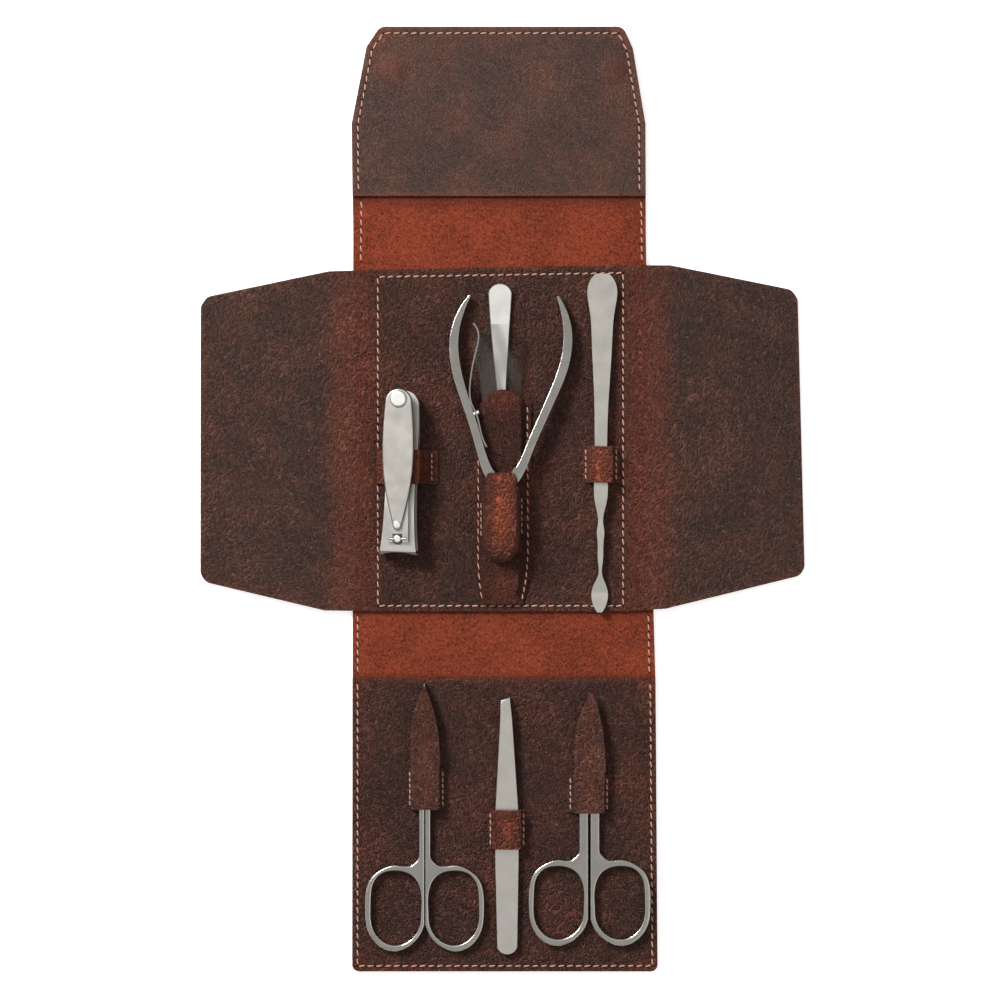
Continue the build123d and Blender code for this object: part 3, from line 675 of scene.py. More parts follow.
def flat_panel(outline: Line, cell: float, rows: Sequence[tuple[Point, Point]]) -> Mesh:
    """A flat gridded panel with a convex outline.

    Args:
        outline: its corners, counter-clockwise, in millimetres.
        cell: size of one grid cell.
        rows: straight stitch rows; the grid gets edges on both sides of each.

    Returns:
        The panel at height 0, in millimetres.
    """
    xs, ys = zip(*outline)
    low, high = Vector((min(xs), min(ys), 0)), Vector((max(xs), max(ys), 0))
    size = high - low
    bm = bmesh.new()
    bmesh.ops.create_grid(bm, x_segments=max(2, round(size.x / cell)),
                          y_segments=max(2, round(size.y / cell)), size=0.5)
    bmesh.ops.scale(bm, vec=(size.x, size.y, 1), verts=bm.verts)
    bmesh.ops.translate(bm, vec=(low + high) / 2, verts=bm.verts)

    def cut(start: Point, end: Point, offset: float, clear: bool) -> None:
        """Cut the whole panel by the upright plane through a stretch, set off sideways.

        Args:
            start: one end of the stretch.
            end: its other end.
            offset: distance to its right.
            clear: take away what lies past the cut.
        """
        normal = Vector((end[1] - start[1], start[0] - end[0], 0)).normalized()
        bmesh.ops.bisect_plane(bm, geom=bm.verts[:] + bm.edges[:] + bm.faces[:], dist=1e-5,
                               plane_co=Vector((*start, 0)) + normal * offset,
                               plane_no=normal, clear_outer=clear)

    for start, end in rows:
        for offset in GROOVE_CUTS:
            cut(start, end, offset, False)
    for start, end in zip(outline, [*outline[1:], outline[0]]):
        if math.dist(start, end) > 1e-4:
            cut(start, end, 0.0, True)
    return bm


def mapped_grid(columns: int, rows: int, place: Place) -> Mesh:
    """A grid whose points are moved to where a function puts them.

    Args:
        columns: cells across.
        rows: cells along.
        place: gives the point of a column and a row, or None where the sheet has none.

    Returns:
        The sheet, in millimetres.
    """
    bm = bmesh.new()
    bmesh.ops.create_grid(bm, x_segments=columns, y_segments=rows, size=0.5)
    gone = []
    for vertex in bm.verts:
        point = place(round((vertex.co.x + 0.5) * columns), round((vertex.co.y + 0.5) * rows))
        if point is None:
            gone.append(vertex)
        else:
            vertex.co = point
    bmesh.ops.delete(bm, geom=gone, context="VERTS")
    return bm


def to_object(name: str, bm: Mesh, finish: Finish, scale: float = MM) -> Piece:
    """Turn a mesh, in millimetres unless scale is 1, into a smooth object with a finish.

    Args:
        name: its name.
        bm: the mesh; it is freed.
        finish: its finish.
        scale: metres per unit of the mesh.

    Returns:
        The object, linked to the scene.
    """
    bmesh.ops.scale(bm, vec=(scale, scale, scale), verts=bm.verts)
    mesh = bpy.data.meshes.new(name)
    for face in bm.faces:
        face.smooth = True
    bm.to_mesh(mesh)
    bm.free()
    mesh.materials.append(finish.material)
    piece = bpy.data.objects.new(name, mesh)
    bpy.context.scene.collection.objects.link(piece)
    return piece


def apply_modifiers(piece: Piece) -> None:
    """Take a piece's modifiers into its mesh.

    Args:
        piece: the piece.
    """
    bpy.context.view_layer.update()
    graph = bpy.context.evaluated_depsgraph_get()
    mesh = bpy.data.meshes.new_from_object(piece.evaluated_get(graph))
    piece.modifiers.clear()
    piece.data = mesh


def thicken(piece: Piece, thickness: float, edge: float) -> None:
    """Give a sheet its thickness, downwards, and round its cut edge.

    Args:
        piece: the sheet.
        thickness: how thick it gets, in millimetres.
        edge: size of the rounding, in millimetres.
    """
    shell = piece.modifiers.new("thickness", "SOLIDIFY")
    shell.thickness, shell.offset, shell.use_even_offset = thickness * MM, -1.0, True
    bevel = piece.modifiers.new("edge", "BEVEL")
    bevel.width, bevel.segments, bevel.limit_method = edge * MM, 2, "ANGLE"
    bevel.angle_limit = math.radians(50)
    apply_modifiers(piece)


def smooth_copy(node: str, finish: Finish) -> Piece:
    """Copy a CAD node as a welded, smoothly shaded piece with the sharp edges kept.

    Args:
        node: the CAD node.
        finish: finish of the copy.

    Returns:
        The copy.
    """
    bm = bmesh.new()
    bm.from_mesh(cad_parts[node].data)
    bmesh.ops.remove_doubles(bm, verts=bm.verts, dist=1e-6)
    for edge in bm.edges:
        edge.smooth = len(edge.link_faces) == 2 and edge.calc_face_angle(0) < SHARP_ANGLE
    piece = to_object(node + "_skin", bm, finish, 1.0)
    piece.modifiers.new("even", "WEIGHTED_NORMAL").keep_sharp = True
    apply_modifiers(piece)
    return piece


def split(piece: Piece, axis: int, places: Sequence[float], names: Sequence[str],
          finishes: Sequence[Finish]) -> list[Piece]:
    """Cut a piece across into several closed ones.

    Args:
        piece: the piece; it is removed.
        axis: 0 cuts across X, 1 across Y.
        places: where the cuts are, rising, in millimetres.
        names: names of the new pieces, from low to high.
        finishes: their finishes.

    Returns:
        The new pieces.
    """
    made = []
    bounds = [None, *places, None]
    normal = Vector((1, 0, 0) if axis == 0 else (0, 1, 0))
    for name, finish, low, high in zip(names, finishes, bounds, bounds[1:]):
        bm = bmesh.new()
        bm.from_mesh(piece.data)
        for place, side in ((low, -1), (high, 1)):
            if place is None:
                continue
            found = bmesh.ops.bisect_plane(
                bm, geom=bm.verts[:] + bm.edges[:] + bm.faces[:], dist=1e-7,
                plane_co=normal * place * MM, plane_no=normal * side, clear_outer=True)
            rim = [e for e in found["geom_cut"] if isinstance(e, bmesh.types.BMEdge)]
            bmesh.ops.holes_fill(bm, edges=rim)
            for edge in rim:
                edge.smooth = False
        made.append(to_object(name, bm, finish, 1.0))
    bpy.data.objects.remove(piece)
    return made


def keep(piece: Piece, body: str, slot: Slot, *nodes: str) -> None:
    """Let a piece ride on its body, and hide the CAD nodes that it replaces.

    Args:
        piece: the piece.
        body: the body that it moves with.
        slot: not used.
        nodes: CAD nodes that it stands for.
    """
    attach(piece, body)
    if nodes:
        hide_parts(*nodes)
    LOG.info("%s on %s", piece.name, body)


@dataclass
class Spot:
    """A soft-edged place: rubbed wear on the leather, a painted shadow on the suede."""

    x: float
    y: float
    reach_x: float
    reach_y: float
    strength: float
    sharp: int = 2

    def at(self, x: float, y: float) -> float:
        """How strongly the place is rubbed at a point."""
        return self.strength * math.exp(-((x - self.x) / self.reach_x) ** self.sharp
                                        - ((y - self.y) / self.reach_y) ** 2)


def paint(piece: Piece, spots: Sequence[Spot], outline: Line, rim_width: float) -> None:
    """Store the rubbed places, which on the suede are painted shadow, and the worn rim as
    attributes of the mesh.

    Args:
        piece: the piece.
        spots: its rubbed places; on the suede, its painted shadows.
        outline: its worn edge, seen from above.
        rim_width: width of the worn rim.
    """
    mesh = piece.data
    # On the leather this stores rubbed wear; on the suede it stores painted shadow.
    rub = mesh.attributes.new("rub", "FLOAT", "POINT")
    rim = mesh.attributes.new("rim", "FLOAT", "POINT")
    edges = [e for e in zip(outline, [*outline[1:], *outline[:1]]) if math.dist(*e) > 1e-3]
    for index, vertex in enumerate(mesh.vertices):
        x, y = vertex.co.x / MM, vertex.co.y / MM
        rub.data[index].value = min(1.0, sum(s.at(x, y) for s in spots))
        near = min((distance_to(Vector((x, y, 0)), *e) for e in edges), default=9.0)
        rim.data[index].value = max(0.0, 1.0 - near / rim_width)


def leather(name: str, bm: Mesh, finish: Finish, thickness: float, spots: Sequence[Spot],
            outline: Line, edge: float = 0.22, rim: float = 1.2) -> Piece:
    """Make a leather from a sheet that is its upper face.

    Args:
        name: its name.
        bm: the sheet, in millimetres.
        finish: its finish.
        thickness: how thick it is.
        spots: its rubbed places; on the suede, its painted shadows.
        outline: its worn edge, seen from above.
        edge: size of the rounding of its cut edge.
        rim: width of the worn rim.

    Returns:
        The leather.
    """
    piece = to_object(name, bm, finish)
    thicken(piece, thickness, edge)
    paint(piece, spots, outline, rim)
    return piece


# ---- sewing ----
@dataclass
class StitchRow:
    """A straight or bent row of stitches on one surface."""

    points: Line
    pitch: float = 3.0
    slant: float = 9.0
    length: float = 2.3
    width: float = 0.6
    closed: bool = False

    def spans(self) -> list[tuple[Point, Point]]:
        """The straight stretches of the row."""
        ends = list(self.points[1:]) + ([self.points[0]] if self.closed else [])
        return list(zip(self.points, ends))

    def sew(self, thread: Mesh, hole_shades: Mesh, height: Height, up: float) -> None:
        """Add the row's stitches and the dark discs of painted shade in its needle holes.

        Args:
            thread: mesh that takes the stitches.
            hole_shades: mesh that takes the discs of painted shade in the needle holes.
            height: the surface's height at a point.
            up: 1 on an upper face, -1 on an underside.
        """
        for (x0, y0), (x1, y1) in self.spans():
            length = math.hypot(x1 - x0, y1 - y0)
            count = max(1, round(length / self.pitch))
            angle = math.atan2(y1 - y0, x1 - x0)
            flat = (self.length / 2 * length / count / self.pitch, self.width / 2,
                    self.width * 0.42, 1.0)

            def spot(step: float, lift: float) -> tuple[float, float, float]:
                """The point at a number of steps along the stretch, a little off the face."""
                x, y = between((x0, x1), step / count), between((y0, y1), step / count)
                return x, y, height(x, y) + lift * up

            # Each needle hole is a dark disc that paints the shade inside the hole.
            for step in range(count + 1):
                bmesh.ops.create_cone(hole_shades, cap_ends=True, segments=8, radius1=HOLE_RADIUS,
                                      radius2=HOLE_RADIUS, depth=HOLE_DEPTH,
                                      matrix=Matrix.Translation(spot(step, 0.01)))
            for step in range(count):
                middle = spot(step + 0.5, 0.06)
                wobble = 3.0 * noise.noise(Vector((*middle[:2], 3.1)))
                turn = Matrix.Rotation(angle + math.radians(self.slant + wobble), 4, "Z")
                bmesh.ops.create_uvsphere(
                    thread, u_segments=8, v_segments=6, radius=1.0,
                    matrix=(Matrix.Translation(middle) @ turn @ Matrix.Diagonal(flat)
                            @ Matrix.Rotation(math.pi / 2, 4, "Y")))


def sew_rows(name: str, rows: Sequence[StitchRow], body: str, height: Height, slot: Slot,
             up: float = 1.0) -> None:
    """Sew rows of stitches as two pieces, thread and dark discs of painted shade in the needle
    holes.

    Args:
        name: start of the pieces' names.
        rows: the rows.
        body: the body that they move with.
        height: the surface's height at a point.
        slot: their material slot.
        up: 1 on an upper face, -1 on an underside.
    """
    thread, hole_shades = bmesh.new(), bmesh.new()
    for row in rows:
        row.sew(thread, hole_shades, height, up)
    keep(to_object(name + "_thread", thread, THREAD), body, slot)
    keep(to_object(name + "_hole_shades", hole_shades, HOLE_SHADE), body, slot)


def sew_seam(names: Sequence[str], row: StitchRow, body: str, top: Height) -> None:
    """Sew a seam through all layers: stitches on the leather and on the cover's underside.

    Args:
        names: names for the upper and the lower side.
        row: the row on the upper side.
        body: the body that it moves with.
        top: height of the leather's face at a point.
    """
    under = StitchRow(row.points, slant=-row.slant, closed=row.closed)
    sew_rows(names[0], [row], body, lambda x, y: top(x, y) - SEAM_SINK, Slot.LEATHER)
    sew_rows(names[1], [under], body, lambda x, y: UNDERSIDE, Slot.COVER, -1.0)


def sew_feet(name: str, body: str, xs: Sequence[float], span: Point, foot: float) -> None:
    """Sew the feet of a loop down, one row of short stitches at each X.

    Args:
        name: name of the loop.
        body: the body that it moves with.
        xs: where the rows are.
        span: Y of the two ends of the loop.
        foot: height of the feet's upper face.
    """
    inset = (span[1] - span[0]) * 0.07
    rows = [StitchRow([(x, span[0] + inset), (x, span[1] - inset)], 2.2, 8.0, 1.8, 0.62)
            for x in xs]
    sew_rows(name, rows, body, lambda x, y: foot - 0.02, Slot.STRAP)


@dataclass
class LeatherPanel:
    """One flat sewn leather of the case, from its outline to the dressed piece."""

    name: str
    outline: Line
    top: Height
    thickness: float
    row: StitchRow
    spots: Sequence[Spot]
    cell: float = 2.0

    def sink(self, vertex: bmesh.types.BMVert) -> float:
        """How far the thread draws the leather down at a point."""
        near = min(distance_to(vertex.co, *span) for span in self.row.spans())
        return GROOVE_DEPTH * (1.0 if near < 0.6 else 0.3 if near < 1.4 else 0.0)

    def build(self, finish: Finish) -> Piece:
        """Build the sheet as an object with thickness, groove and worn edge.

        Args:
            finish: its finish.

        Returns:
            The leather.
        """
        bm = flat_panel(self.outline, self.cell,
                        [span for span in self.row.spans() if math.dist(*span) > SHORT_SPAN])
        for vertex in bm.verts:
            vertex.co.z = self.top(vertex.co.x, vertex.co.y)
            vertex.co.z -= self.sink(vertex)
        bmesh.ops.recalc_face_normals(bm, faces=bm.faces)
        bm.normal_update()
        if sum(face.normal.z for face in bm.faces) < 0:
            bmesh.ops.reverse_faces(bm, faces=bm.faces)
        return leather(self.name, bm, finish, self.thickness, self.spots, self.outline, 0.3, 2.0)


# ---- the folding leather ----
@dataclass
class Strip:
    """Cover and suede lining of the folding strip, which has four fold lines."""

    right: Line = ((55.0, LOWER_END), (54.3, -82.6), (52.0, 0.0), (50.95, 73.4), (50.85, 110.6),
                   (46.4, 136.9), (43.0, FLAP_END))
    left: Line = ((-51.6, LOWER_END), (-51.5, -82.6), (-51.45, 0.0), (-51.3, 73.4),
                  (-51.8, 110.6), (-46.6, 137.6), (-41.9, FLAP_END))
    cuts: Sequence[float] = (-71.1, 0.0, 73.4)
    insets: Sequence[float] = (0.0, 0.5, 1.2, 1.8, 2.4, 3.2)
    inner_columns: int = 46
    reach: float = 2.2

    def outline(self) -> list[Point]:
        """Outline of the whole strip, counter-clockwise, with rounded corners.

        Returns:
            The points of the outline.
        """
        right, left = list(self.right), list(reversed(self.left))
        radii = [2.3] + [0.0] * (len(right) - 2) + [3.5, 3.5] + [0.0] * (len(left) - 2) + [2.3]
        return rounded_outline(right + left, radii)

    def lines(self) -> list[float]:
        """Y of every line of the grid: even ones, and close ones at the folds and ends.

        Returns:
            The lines, rising.
        """
        ys = [LOWER_END + i * (FLAP_END - LOWER_END) / 150 for i in range(151)]
        ys += [fold + step for fold in FOLDS for step in (-1.6, -0.8, 0.0, 0.8, 1.6)]
        for inset in (0.15, 0.4, 0.8, 1.4):
            ys += [LOWER_END + inset, FLAP_END - inset]
        return sorted(set(round(y, 3) for y in ys))

    def sheet(self, name: str, top: float, thickness: float, finish: Finish, slot: Slot,
              nodes: Sequence[Sequence[str]]) -> None:
        """Build one layer as four pieces, each holding one fold line.

        Args:
            name: start of the pieces' names.
            top: height of its upper face.
            thickness: thickness of the layer.
            finish: its finish.
            slot: its material slot.
            nodes: the CAD nodes that each of the four pieces replaces.
        """
        ys, outline = self.lines(), self.outline()
        edge_right = [p for p in outline if p[0] > 0]
        edge_left = [p for p in outline if p[0] <= 0][::-1]
        last = len(self.insets) - 1
        columns = 2 * last + self.inner_columns

        def place(column: int, row: int) -> Vector:
            """A point of the layer; the bare spines are a little uneven.

            Args:
                column: column of the grid, from the left.
                row: row of the grid, from below.

            Returns:
                The point.
            """
            y = ys[row]
            x0, x1 = crossing(edge_left, y), crossing(edge_right, y)
            if column <= last:
                x = x0 + self.insets[column]
            elif column >= columns - last:
                x = x1 - self.insets[columns - column]
            else:
                x = between((x0 + self.insets[-1], x1 - self.insets[-1]),
                            (column - last) / self.inner_columns)
            bare = max(smoothstep(9.0, 4.0, abs(y - (a + b) / 2) - 3)
                       for a, b in ((LOWER_FOLD, LOWER_PANEL_FOLD), (UPPER_FOLD, FLAP_FOLD)))
            z = top + bare * (ripple(x, y, 14.0, 0.12) + ripple(x, y, 4.0, 0.05, 2.0))
            if slot is Slot.SUEDE and min(x - x0, x1 - x) < 3.0:
                z -= 0.12 * smoothstep(1.4, 0.4, abs(min(x - x0, x1 - x) - 2.0))
            return Vector((x, y, z))

        spots = [Spot(0, y, 90, 4, 0.6) for y in FOLDS]
        # On the suede these spots are painted shadow beside the edges of the flap, centre and
        # lower leathers.
        if slot is Slot.SUEDE:
            spots = [Spot(0, FLAP_FOLD + 0.6, 300, 3.6, 0.75), Spot(0, LOWER_FOLD, 300, 1.8, 0.5),
                     Spot(0, LOWER_PANEL_FOLD, 300, 1.2, 0.4)]
        piece = leather(name, mapped_grid(columns, len(ys) - 1, place), finish, thickness, spots,
                        outline, 0.25, 2.0)
        names = [f"{name}_{part}" for part in ("lower", "mid_lower", "mid_upper", "flap")]
        joints = (("lower_spine", "lower_panel", LOWER_PANEL_FOLD, -1),
                  ("centre", "lower_spine", LOWER_FOLD, -1),
                  ("centre", "upper_spine", UPPER_FOLD, 1), ("upper_spine", "flap", FLAP_FOLD, 1))
        parts = split(piece, 1, self.cuts, names, [finish] * 4)
        for part, (a, b, fold, way), stood in zip(parts, joints, nodes):
            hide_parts(*stood)
            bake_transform(part)
            LOG.info("%s between %s and %s", part.name, a, b)

    def build(self) -> None:
        """Build both layers and the stitches of the bare spines."""
        self.sheet("cover", COVER_TOP, 1.2, COVER_HIDE, Slot.COVER,
                   (("lower_cover",), ("lower_spine_cover",), ("cover_centre",),
                    ("upper_spine_cover", "flap_cover")))
        self.sheet("lining", LINING_TOP, 0.6, SUEDE, Slot.SUEDE,
                   (("lower_lining",), ("lower_spine_lining",), ("lining_centre",),
                    ("upper_spine_lining", "flap_lining")))
        for name, low, high, edges in (
                ("lower_spine", LOWER_PANEL_FOLD + 1.4, LOWER_FOLD - 1.2,
                 ((-49.7, -49.7), (52.2, 51.9))),
                ("upper_spine", UPPER_FOLD + 1.2, FLAP_FOLD - 1.4,
                 ((-48.6, -48.4), (49.6, 49.4)))):
            sew_rows(name, [StitchRow([(x0, low), (x1, high)]) for x0, x1 in edges], name,
                     lambda x, y: LINING_TOP - 0.08, Slot.SUEDE)


@dataclass
class Hide:
    """The inner hide of the centre: one leather from wing to wing, sewn round the middle."""

    outline: Line = (
        (-104.75, -46.4), (-102.9, -49.4), (-61.3, -59.2), (-43.5, -59.5), (43.5, -59.5),
        (57.9, -58.6), (104.9, -47.1), (106.5, -44.2), (104.1, 49.6), (101.9, 52.9),
        (59.5, 61.3), (43.5, 61.3), (-43.4, 59.7), (-59.8, 59.2), (-102.4, 50.4),
        (-104.65, 47.2))
    radii: Sequence[float] = (3.5, 3.5, 0, 0, 0, 0, 3.5, 3.5, 3.5, 3.5, 0, 0, 0, 0, 3.5, 3.5)
    seam: Line = ((-42.6, -57.6), (43.0, -57.6), (43.0, 58.6), (-42.6, 57.2))
    slope: float = math.tan(math.radians(2.33))
    thickness: float = 1.15
    reach: float = 3.0

    def top(self, x: float, y: float) -> float:
        """Height of the hide's face; the wings slope down to the table.

        Args:
            x: X of a point.
            y: Y of the point.

        Returns:
            The height.
        """
        away = abs(x) - WING_FOLD
        drop = self.slope * (0.5 * (away + math.sqrt(away * away + 9.0)) - 0.35)
        out = smoothstep(WING_FOLD, WING_FOLD + 12, abs(x))
        band = smoothstep(4.5, 0.0, abs(abs(x) - 50.5) - 5.0)
        wave = out * 0.28 * (0.55 + noise.noise(Vector((x / 30, y / 34, 5.0))))
        wave += (1 - out) * ripple(x, y, 26.0, 0.06) + ripple(x, y, 6.0, 0.035, 7.0)
        crease = band * (0.16 * noise.noise(Vector((x / 2.2, y / 16, 9.0)))
                         + 0.08 * noise.noise(Vector((x / 1.1, y / 6, 4.0))))
        return LEATHER_TOP - drop + wave + crease

    def build(self) -> None:
        """Build the hide, cut it into four pieces and sew the seam."""
        row = StitchRow(self.seam, closed=True)
        spots = [Spot(side * 51.2, 0, 8.6, 140, 0.42, 4) for side in (-1, 1)]
        panel = LeatherPanel("hide", rounded_outline(self.outline, self.radii, 4), self.top,
                             self.thickness, row, spots, 2.2)
        middle = (GUSSET_FOLD + WING_FOLD) / 2
        parts = split(panel.build(HIDE), 0, (-middle, 0.0, middle),
                      ("wing_left", "hide_left", "hide_right", "wing_right"),
                      (WING_HIDE, HIDE, HIDE, WING_HIDE))
        turns = (("left_gusset", "left_wing", -WING_FOLD, -1, ("left_wing",)),
                 ("centre", "left_gusset", -GUSSET_FOLD, -1, ("centre_leather", "left_gusset")),
                 ("centre", "right_gusset", GUSSET_FOLD, 1, ("right_gusset",)),
                 ("right_gusset", "right_wing", WING_FOLD, 1, ("right_wing",)))
        for part, (a, b, fold, way, nodes) in zip(parts, turns):
            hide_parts(*nodes)
            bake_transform(part)
            LOG.info("%s between %s and %s", part.name, a, b)
        sew_seam(("centre_seam", "cover_seam"), row, "centre", self.top)


@dataclass
class InnerLeather:
    """Inner leather of the lower panel or of the flap, sewn on its three free sides."""

    name: str
    body: str
    finish: Finish
    outline: Line
    radii: Sequence[float]
    seam: Line
    spots: Sequence[Spot]
    wave: float
    seeds: Point
    magnets: Line = ()
    bump: float = 0.7
    cell: float = 2.0

    def top(self, x: float, y: float) -> float:
        """Height of its face, raised over the magnets with a dip round each.

        Args:
            x: X of a point.
            y: Y of the point.

        Returns:
            The height.
        """
        lift = 0.0
        for magnet in self.magnets:
            away = math.dist((x, y), magnet)
            lift += self.bump * smoothstep(4.9, 3.6, away)
            lift -= 0.1 * math.exp(-((away - 5.3) / 0.6) ** 2)
        return (LEATHER_TOP + lift + ripple(x, y, 24.0, self.wave, self.seeds[0])
                + ripple(x, y, 6.0, 0.035, self.seeds[1]))

    def build(self) -> None:
        """Build the leather and its seam."""
        row = StitchRow(self.seam)
        spots = [*(Spot(x, y, 4.6, 4.6, 0.35) for x, y in self.magnets), *self.spots]
        panel = LeatherPanel(self.name + "_hide", rounded_outline(self.outline, self.radii),
                             self.top, PANEL_THICKNESS, row, spots, self.cell)
        keep(panel.build(self.finish), self.body, Slot.LEATHER, self.name + "_leather")
        sew_seam((self.name + "_seam", self.name + "_cover_seam"), row, self.body, self.top)


PANELS = (
    InnerLeather("lower", "lower_panel", HIDE,
                 ((-51.6, -185.2), (55.0, -185.2), (54.3, -82.7), (-51.5, -82.7)),
                 (2.3, 2.3, 0, 0),
                 ((-49.7, -84.5), (-49.7, -183.3), (53.2, -183.3), (52.5, -84.5)),
                 (Spot(-51, -84, 4, 6, 0.6), Spot(54, -84, 4, 6, 0.6), Spot(54, -184, 5, 5, 0.5),
                  Spot(-51, -184, 5, 5, 0.5), Spot(0, -82.5, 60, 1.2, 0.55)), 0.08, (3.0, 1.0)),
    InnerLeather("flap", "flap", FLAP_HIDE,
                 ((-51.5, 85.5), (50.9, 85.5), (50.8, 110.6), (46.4, 136.9), (43.0, 144.6),
                  (-41.9, 144.6), (-46.6, 137.6), (-51.8, 110.6)),
                 (0, 0, 0, 1.5, 3.5, 3.5, 1.5, 0),
                 ((-49.4, 87.3), (-49.6, 110.4), (-44.6, 136.6), (-40.7, 142.3), (41.4, 142.3),
                  (44.3, 136.0), (48.6, 110.4), (48.7, 87.3)),
                 (Spot(-43, 143, 5, 4, 0.6), Spot(44, 143, 5, 4, 0.6),
                  Spot(0, 85.5, 60, 1.0, 0.5)), 0.1, (8.0, 6.0),
                 magnets=((-37.8, 129.6), (39.2, 129.6)), cell=1.8),
)


# ---- loops, sheaths and pocket ----
@dataclass
class Section:
    """Cross-section of a leather loop: foot, wall, roof, wall, foot."""

    feet: Point
    walls: Point
    roof: float
    wall_thickness: float = 0.8
    thickness: float = 1.0
    crown: float = 0.25

    @property
    def foot(self) -> float:
        """Height of the feet's upper face."""
        return LEATHER_TOP + self.thickness

    def line(self) -> list[Point]:
        """Its upper face as a smooth line from left foot to right foot.

        Returns:
            The points of the line.
        """
        foot, top = self.foot, self.roof + self.thickness
        left, right = self.walls[0] - self.wall_thickness, self.walls[1] + self.wall_thickness

        def side(end: float, wall: float, way: int) -> list[Point]:
            """One foot and one wall; way is 1 on the left and -1 on the right.

            Args:
                end: X of the foot's free end.
                wall: X of the wall's outer face.
                way: 1 on the left, -1 on the right.

            Returns:
                Its points, from the foot up.
            """
            return [(end, foot), (wall - 0.5 * way, foot), (wall - 0.02 * way, foot + 0.05),
                    (wall + 0.08 * way, (foot + top) / 2), (wall + 0.15 * way, top - 0.5),
                    (wall + 0.8 * way, top)]

        return soften(side(self.feet[0], left, 1) + [((left + right) / 2, top + self.crown)]
                      + side(self.feet[1], right, -1)[::-1])


@dataclass
class Loop:
    """A sewn leather loop over a tool."""

    name: str
    body: str
    section: Section
    span: Point
    rows: Sequence[float]
    spot: Spot
    columns: int = 56

    def build(self) -> None:
        """Build the loop, its worn place and its stitches."""
        line = self.section.line()
        rows = max(8, round((self.span[1] - self.span[0]) / 0.9))

        def place(column: int, row: int) -> Vector:
            """A point of the loop; columns run over the tool.

            Args:
                column: column of the grid, over the tool.
                row: row of the grid, along the tool.

            Returns:
                The point.
            """
            x, z = walk(line, column / self.columns)
            y = between(self.span, row / rows)
            return Vector((x + ripple(y, z, 9.0, 0.12), y + ripple(x, z, 7.0, 0.15, 2.0),
                           z + ripple(x, y, 6.0, 0.06)))

        piece = leather(self.name + "_loop", mapped_grid(self.columns, rows, place), STRAP_HIDE,
                        self.section.thickness, [self.spot],
                        rectangle(self.section.feet, self.span))
        keep(piece, self.body, Slot.STRAP, self.name)
        sew_feet(self.name, self.body, self.rows, self.span, self.section.foot)


@dataclass
class Sheath:
    """A scissors sheath: a sewn loop that runs on as a loose leaf over the blades."""

    name: str
    section: Section
    span: Point
    left: Line
    right: Line
    rows: Sequence[float]
    columns: int = 56

    def build(self) -> None:
        """Build loop and leaf as one sheet, with its stitches."""
        line, walls = self.section.line(), self.section.walls
        low, high = self.span
        tip = self.left[-1][1]
        ys = [between(self.span, i / 14) for i in range(15)]
        ys += [between((high, tip), math.sin(math.pi / 2 * i / 30)) for i in range(1, 31)]
        middle, half = sum(walls) / 2, (walls[1] - walls[0]) / 2 + 0.35

        def place(column: int, row: int) -> Vector | None:
            """A point of the loop, and past its end a point of the leaf or none.

            Args:
                column: column of the grid, over the tool.
                row: row of the grid, along the tool.

            Returns:
                The point, or None beside the leaf.
            """
            y = ys[row]
            x, z = walk(line, column / self.columns)
            if y > high + 0.01:
                if abs(x - middle) >= half or z < self.section.roof + 0.6:
                    return None
                reach = (x - middle) / half
                x0, x1 = crossing(self.left, y), crossing(self.right, y)
                x = (x0 + x1) / 2 + reach * (x1 - x0) / 2
                z = (self.section.roof + self.section.thickness + 0.1
                     + 0.2 * (1 - reach * reach) - 0.25 * smoothstep(high, tip, y))
            return Vector((x, y, z + ripple(x, y, 7.0, 0.08)))

        piece = leather(self.name + "_leaf", mapped_grid(self.columns, len(ys) - 1, place),
                        LEAF_HIDE, self.section.thickness,
                        [Spot(middle, y, 2.2, 7, 0.3) for y in (low + 4, high + 6, tip - 6)],
                        [*self.right, *self.left[::-1]])
        keep(piece, "lower_panel", Slot.STRAP, self.name)
        sew_feet(self.name, "lower_panel", self.rows, self.span, self.section.foot)


